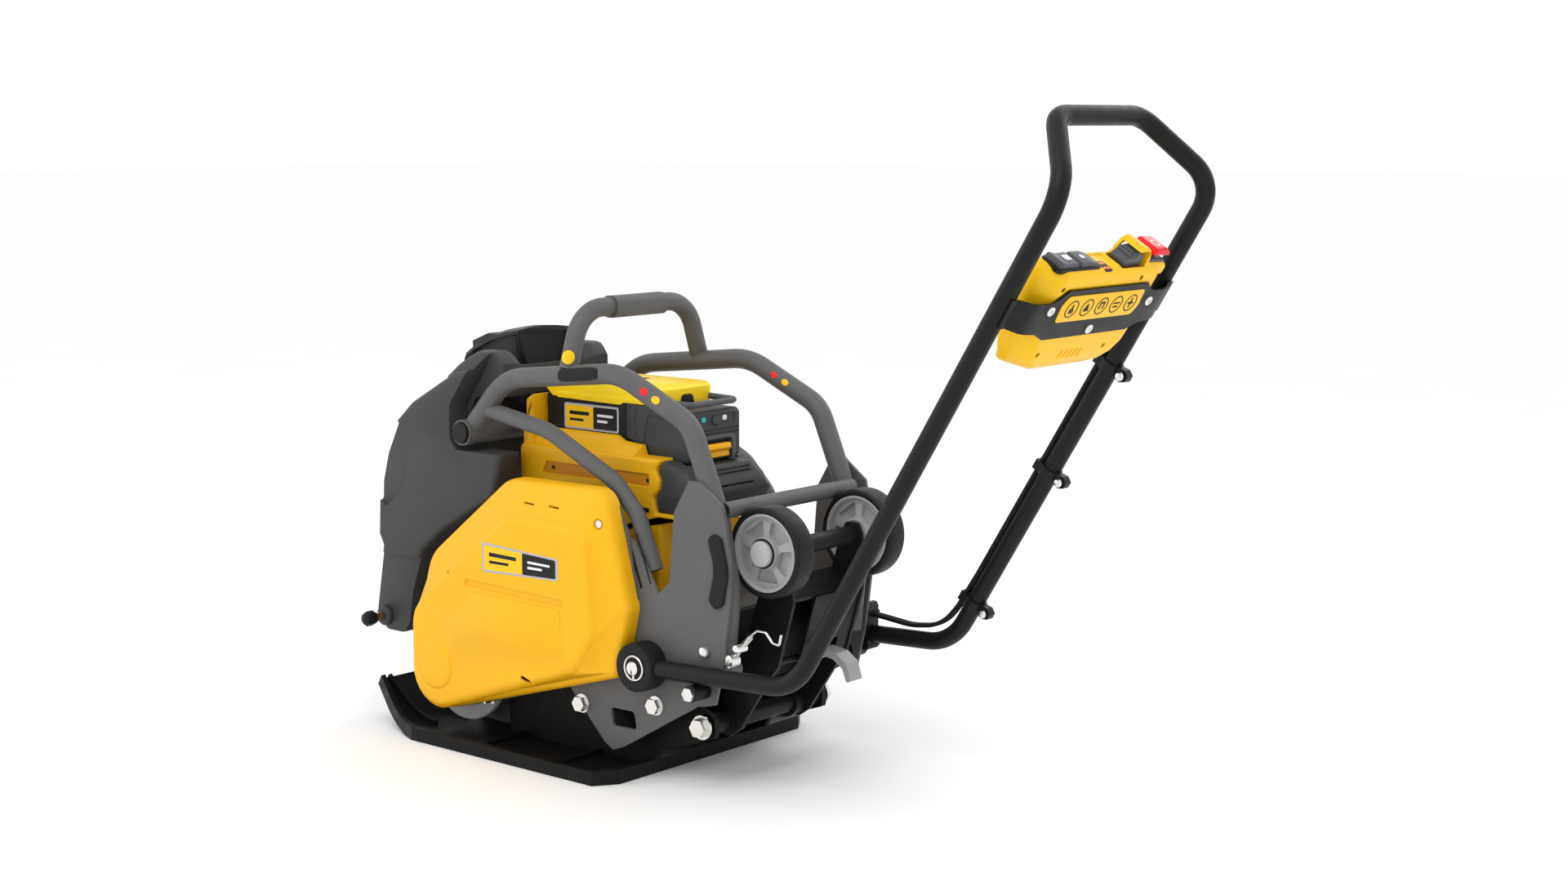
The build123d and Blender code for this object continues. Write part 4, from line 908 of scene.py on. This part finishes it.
def console_shells():
    rings = [shell_ring(s, shrink, -150, 150, 28) for s, shrink in ((653, 2), (655, 0), (690, 0), (716, 0),
        (725, 1.5), (730.5, 5), (TOP, 11))]
    top = loft("console_top_moulding", rings)
    rise = slab_x("rise", Rounded([(26, 719, 3), (36, 735, 8), (52, 740, 14), (82, 740, 10), (92, 735, 8),
        (134, 733.5, 10), (144, 727, 8), (140, 712, 3)], 5), -19, 21, 5)
    dish = slab_x("dish", Rounded([(-40, 770, 4), (-34, 732, 10), (20, 729.5, 16), (28, 770, 4)], 5), -14, 20,
        3)
    unite(top, rise)
    label_step = slab_x("label_step", Rounded([(-130, 600, 4), (-130, 690, 5), (-112, 699, 6), (-101, 709, 6),
        (101, 709, 6), (114, 699, 6), (130, 690, 5), (130, 600, 4)], 4), 26.4, 60, 0.6)
    seats = [disc("seat", at, 4.2, 24, 60, 0.3, yz_ring) for at in ((-112, 708), (76, 716), (120, 703))]
    lever_pocket = slab_z("lever_pocket", rectangle(-13, 22, 20, 80, 4), 718, 790, 0.5)
    stop_bore = disc("stop_bore", STOP_STEM, 9, 712, 790, 0.5, xy_ring)
    cut(top, dish, label_step, lever_pocket, stop_bore, *seats)
    on_console(top, CONSOLE_YELLOW, "handle", "console_top_shell", sharp=35)
    levels = [(652, 0, -148, 149, 28), (640, 0, -138, 154, 28), (608, 0, -130, 150, 28),
        (590, 0, -119, 138, 27), (577, 0, -108, 120, 24), (567, 0, -101, 94, 16), (562, 4, -97, 84, 10)]
    low = loft("console_low_moulding", [shell_ring(s, shrink, left, right, front)
        for s, shrink, left, right, front in levels])
    seats = [disc("seat", at, 4.2, 22, 60, 0.3, yz_ring) for at in ((-86, 600), (76, 602))]
    vents = [slab_x("vent", even([(y, 588), (y + 5, 588), (y + 9, 604), (y + 4, 604)], 1.5, 3), 25.6, 60, 0.4)
        for y in (-34, -22, -10, 2, 14)]
    cut(low, *seats, *vents)
    on_console(low, CONSOLE_YELLOW, "handle", "console_bottom_shell", sharp=35)
    plugs = [disc("plug", at, 3.9, n - 4, n, 0.5, yz_ring) for at, n in (((-112, 708), 26.4),
        ((76, 716), 26.4), ((120, 703), 20), ((-86, 600), 25), ((76, 602), 25))]
    on_console(join("console_small_screws", *plugs), BLACK, "handle")


def console_bracket():
    angles = [radians(112 - 6 * k) for k in range(9)]
    inner, outer = ([(TUBE_Y + radius * cos(a), radius * sin(a)) for a in angles] for radius in (14.4, 17.2))
    side_in = [(150, 28.6), (166, 26)] + inner
    side_out = [(152, 31.4), (168, 28.8)] + outer
    section = side_out + side_in[::-1]
    section += [(-y, n) for y, n in side_in] + [(-y, n) for y, n in side_out[::-1]]
    sheet = loft("console_bracket_sheet", [[(n, y, s) for y, n in section] for s in (600, 720)])
    outline = Rounded([(-240, 648, 4), (-132, 640, 5), (-106, 629, 8), (104, 630, 8), (128, 640, 5),
        (240, 648, 4), (240, 694, 4), (126, 694, 5), (110, 699, 5), (98, 708, 6), (-98, 707, 6),
        (-112, 696, 5), (-126, 689, 5), (-240, 689, 4)], 4)
    combine(sheet, [slab_x("outline", outline, -60, 80, 0.5)], "INTERSECT")
    on_console(sheet, BLACK, "handle", "console_bracket", sharp=35, slot="handle_black")
    on_console(slab_x("console_label", Rounded([(-98, 657, 6), (92, 657, 10), (100, 672, 6), (96, 699, 6),
        (-94, 699, 10), (-102, 684, 6)], 5), 31, 32.6, 0.5), LABEL_YELLOW, "handle")
    icons = []
    for k, y in enumerate((-74, -37, 0, 37, 74)):
        ring = slab_x("icon", circle((y, ICON_ROW), 14, 40), *ICON_SKIN, steps=1)
        bore = disc("bore", (y, ICON_ROW), 12.4, 25, 40, 0.1, yz_ring, 40)
        icons.append(cut(ring, bore))
        icons += icon_marks(k, y)
    on_console(join("console_icons", *icons), BLACK, "handle")
    heads = []
    for at in ((-124, 678), (122, 678), (0, 640)):
        head = disc("head", at, 7.4, 28, 34.6, 1.6, yz_ring)
        dimple = disc("dimple", at, 3.2, 33, 40, 0.4, yz_ring, 6)
        heads.append(cut(head, dimple))
    on_console(join("console_bolts", *heads), ZINC, "handle", "console_screws")


def icon_marks(kind, y):
    """Plain marks: two bars, a triangle, an arch of bars, two level lines and a cross."""
    bars = {0: [(-5, -7, 5, 0), (-2, 0, 2, 7)], 2: [(-6, -5, -3, 6), (3, -5, 6, 6), (-6, 4, 6, 7)],
        3: [(-8, 1, 8, 3.4), (-6, -5, 6, -2.6)], 4: [(-1.5, -8, 1.5, 8), (-7, -1.5, 7, 1.5)]}
    if kind == 1:
        shapes = [even([(y - 7, 672), (y + 7, 672), (y, 686)], 1, 2)]
    else:
        shapes = [rectangle(y + a, y + c, ICON_ROW + b, ICON_ROW + d, 0.8) for a, b, c, d in bars[kind]]
    return [slab_x("mark", shape, *ICON_SKIN, steps=1) for shape in shapes]


def console_switches():
    on_console(slab_z("switch_bezel", rectangle(-17, 20, -133, -28, 8), TOP - 5, TOP + 2.5, 1.6), BLACK,
        "handle")
    rocker = slab_x("rocker_key", Rounded([(-129, 726, 3), (-129, 744, 5), (-107, 740, 16), (-83, 741, 4),
        (-83, 726, 3)], 5), -14, 17, 3)
    rocker_mark = slab_z("mark", rectangle(-6, 6, -104, -90, 2), 739.6, 741.4, 0.3)
    on_console(rocker, KEY_GREY, "power_rocker", "power_rocker")
    on_console(rocker_mark, LABEL_WHITE, "power_rocker")
    speed = slab_x("speed_key", Rounded([(-79, 727, 3), (-79, 741, 4), (-53, 741, 16), (-33, 737, 5),
        (-33, 727, 3)], 5), -14, 17, 3)
    speed_mark = disc("speed_mark", (1, -61), 4.5, 740.2, 741.5, 0.3, xy_ring)
    on_console(speed, KEY_GREY, "speed_button", "speed_button")
    on_console(speed_mark, LABEL_WHITE, "speed_button")
    on_console(slab_z("status_strip", rectangle(2, 24, -24, -4, 3), 728, 731.6, 0.6), BLACK, "handle")
    lights = [slab_z("light", rectangle(n, n + 5, -21, -7, 1.5), 730, 732.2, 0.3) for n in (5, 16)]
    on_console(join("status_lights", *lights), LIGHT_AMBER, "handle")
    lever = slab_x("thumb_lever", Rounded([(30, 727, 3), (24, 738, 6), (40, 750, 9), (62, 752, 10),
        (76, 744, 6), (74, 727, 3)], 6), -9, 17, 4)
    grips = [slab_z("grip", rectangle(-20, 24, y, y + 2.2, 1), 742, 790, 0.4) for y in (33, 39, 45, 51)]
    cut(lever, *grips)
    on_console(lever, KEY_GREY, "start_lever", "start_lever")
    hoop = loft("lever_hoop", hoop_rings())
    cut(hoop, slab_z("lever_room", rectangle(-12, 40, 10, 80, 2), 690, 754.2, 0.3))
    on_console(hoop, CONSOLE_YELLOW, "handle", "lever_guard", sharp=40)
    base = slab_x("stop_base", Rounded([(93, 728, 3), (93, 739.5, 4), (134, 737, 6), (138, 728, 3)], 4), -16,
        18, 3)
    cut(base, disc("bore", STOP_STEM, 9, 700, 790, 0.3, xy_ring))
    on_console(base, KEY_GREY, "handle")
    stop = slab_x("stop_paddle", Rounded([(93, 745.5, 2), (95, 756, 5), (131, 753.5, 8), (139, 744.5, 4),
        (135, 743.5, 2)], 5), -18, 20, 4)
    stem = disc("stem", STOP_STEM, 8, 722, 748, 0.5, xy_ring)
    stop_mark = ring_plate("mark", (2, 113), 7.5, 5.2, 753.4, 755.3)
    on_console(join("stop_paddle", stop, stem), RED, "stop_button", "stop_button")
    on_console(stop_mark, LABEL_WHITE, "stop_button")


def ring_plate(name, at, outer, inner, low, high):
    bore = disc("bore", at, inner, low - 5, high + 5, 0.1, xy_ring)
    return cut(disc(name, at, outer, low, high, 0.2, xy_ring), bore)


def hoop_rings():
    """Cross-sections of the arch over the thumb lever, swept from its left foot to its right one."""
    centre_line = [(45, 716), (45, 742), (51, 752), (62, 757.5), (74, 756), (81, 748), (85, 738), (86, 726)]
    path = smooth_path([Vector((y, s, 0)) for y, s in centre_line], 12, 3)
    rings = []
    for i, point in enumerate(path):
        ahead = (path[min(i + 1, len(path) - 1)] - path[max(i - 1, 0)]).normalized()
        normal = Vector((-ahead.y, ahead.x, 0))
        rings.append([(n, point.x + normal.x * t, point.y + normal.y * t) for n, t in rectangle(-18, 21, -2.8,
            2.8, 2.4)])
    return rings


# ---- CAD nodes that keep their shape ----
CAD_LOOKS = {
    PLATE_BLACK: ["base_plate", "exciter_pulley", "motor_pulley"],
    CASTING_GREY: ["exciter_housing", "exciter_caps"],
    STEEL: ["exciter_bearings", "exciter_shaft", "motor_rotor"],
    ZINC: ["exciter_cap_bolts", "cover_screws", "mount_bolts"],
    ALUMINIUM: ["motor_housing"],
    RUBBER: ["drive_belt", "rubber_mounts"],
    FRAME_GREY: ["belt_back_plate", "deck_plate", "rail_left", "rail_right", "brace_left", "brace_right",
                 "front_cross_tube", "rear_cross_tube", "side_plate_left", "side_plate_right", "lifting_bail",
                 "lifting_grip"],
    PEDAL_GREY: ["foot_pedal"],
    HANDLE_BLACK: ["handle_frame", "stop_tubes", "carriage_frame", "carriage_pivot_tube", "wheel_axle"],
    BLACK: ["cable_clips"],
    CABLE: ["control_cable"],
}
ROUNDED_EDGES = {"base_plate": 2.5, "side_plate_left": 0.9, "side_plate_right": 0.9, "lifting_grip": 1.5,
    "foot_pedal": 1.2, "carriage_frame": 1.0, "deck_plate": 0.8, "exciter_housing": 1.5, "mount_bolts": 0.7,
    "stop_tubes": 1.0, "cable_clips": 0.9, "wheel_axle": 1.0, "exciter_cap_bolts": 0.6, "handle_frame": 1.2,
    "front_cross_tube": 0.8}


def dress_cad_nodes():
    for look, names in CAD_LOOKS.items():
        for name in names:
            mesh = NODES[name].data
            mesh.materials.clear()
            mesh.materials.append(look)
    for name, width in ROUNDED_EDGES.items():
        bevel = NODES[name].modifiers.new("rounded_edges", "BEVEL")
        bevel.width = width * MM
        bevel.segments = 2
        bevel.limit_method = "ANGLE"
        bevel.angle_limit = radians(40)


# ---- camera, light and floor ----
CAMERA_AT = (2.6658, -2.6806, 1.0068)
CAMERA_HEADING, CAMERA_DIP = 40.0, -7.9  # degrees
CAMERA_LENS, SENSOR_WIDTH = 53.0, 36.0  # millimetres
SCENE_MIDDLE = (0.25, 0.0, 0.4)
LIGHTS = (("key", (0.8, -1.8, 3.2), 2.0, 30.0), ("fill_left", (-2.6, -2.6, 1.4), 2.0, 10.0),
          ("rim_back", (0.5, 3.0, 2.6), 2.4, 20.0))  # name, place, size, watts
FLOOR_HALF, FLOOR_DROP = 40.0, 0.0005


def set_camera():
    camera = add_object("camera", bpy.data.cameras.new("camera"))
    camera.location = CAMERA_AT
    heading, dip = radians(CAMERA_HEADING), radians(CAMERA_DIP)
    forward = Vector((-sin(heading) * cos(dip), cos(heading) * cos(dip), sin(dip)))
    camera.rotation_euler = forward.to_track_quat("-Z", "Y").to_euler()
    camera.data.sensor_width = SENSOR_WIDTH
    camera.data.lens = CAMERA_LENS
    camera.data.clip_end = 80.0
    bpy.context.scene.camera = camera


def area_light(name, at, size, power):
    light = bpy.data.lights.new(name, "AREA")
    light.shape = "SQUARE"
    light.size = size
    light.energy = power
    lamp = add_object(name, light)
    lamp.location = at
    lamp.rotation_euler = (Vector(SCENE_MIDDLE) - Vector(at)).to_track_quat("-Z", "Y").to_euler()


def set_light():
    bpy.context.scene.view_settings.view_transform = "Standard"
    world = bpy.data.worlds.new("studio")
    bpy.context.scene.world = world
    world.use_nodes = True
    back = world.node_tree.nodes["Background"]
    back.inputs["Color"].default_value = (1.0, 1.0, 1.0, 1.0)
    back.inputs["Strength"].default_value = 1.04
    for light in LIGHTS:
        area_light(*light)


def set_floor():
    mesh = bpy.data.meshes.new("floor")
    corners = [(u * FLOOR_HALF, v * FLOOR_HALF, 0) for u, v in ((-1, -1), (1, -1), (1, 1), (-1, 1))]
    mesh.from_pydata(corners, [], [(0, 1, 2, 3)])
    floor = add_object("floor", mesh)
    floor.location.z = -FLOOR_DROP
    mesh.materials.append(FLOOR)


set_camera()
dress_cad_nodes()
belt_cover()
badge("cover_badge", [(-20, 297), (151, 303), (151, 337), (-20, 345)], -226, "chassis")
tank_body()
tank_hood()
water_valve()
battery()
battery_module()
power_housing()
battery_cradle()
wheel(-1)
wheel(1)
handle_pivots()
frame_fittings()
frame_pads()
plate_inlays()
console_shells()
console_bracket()
console_switches()
stickers()
set_light()
set_floor()
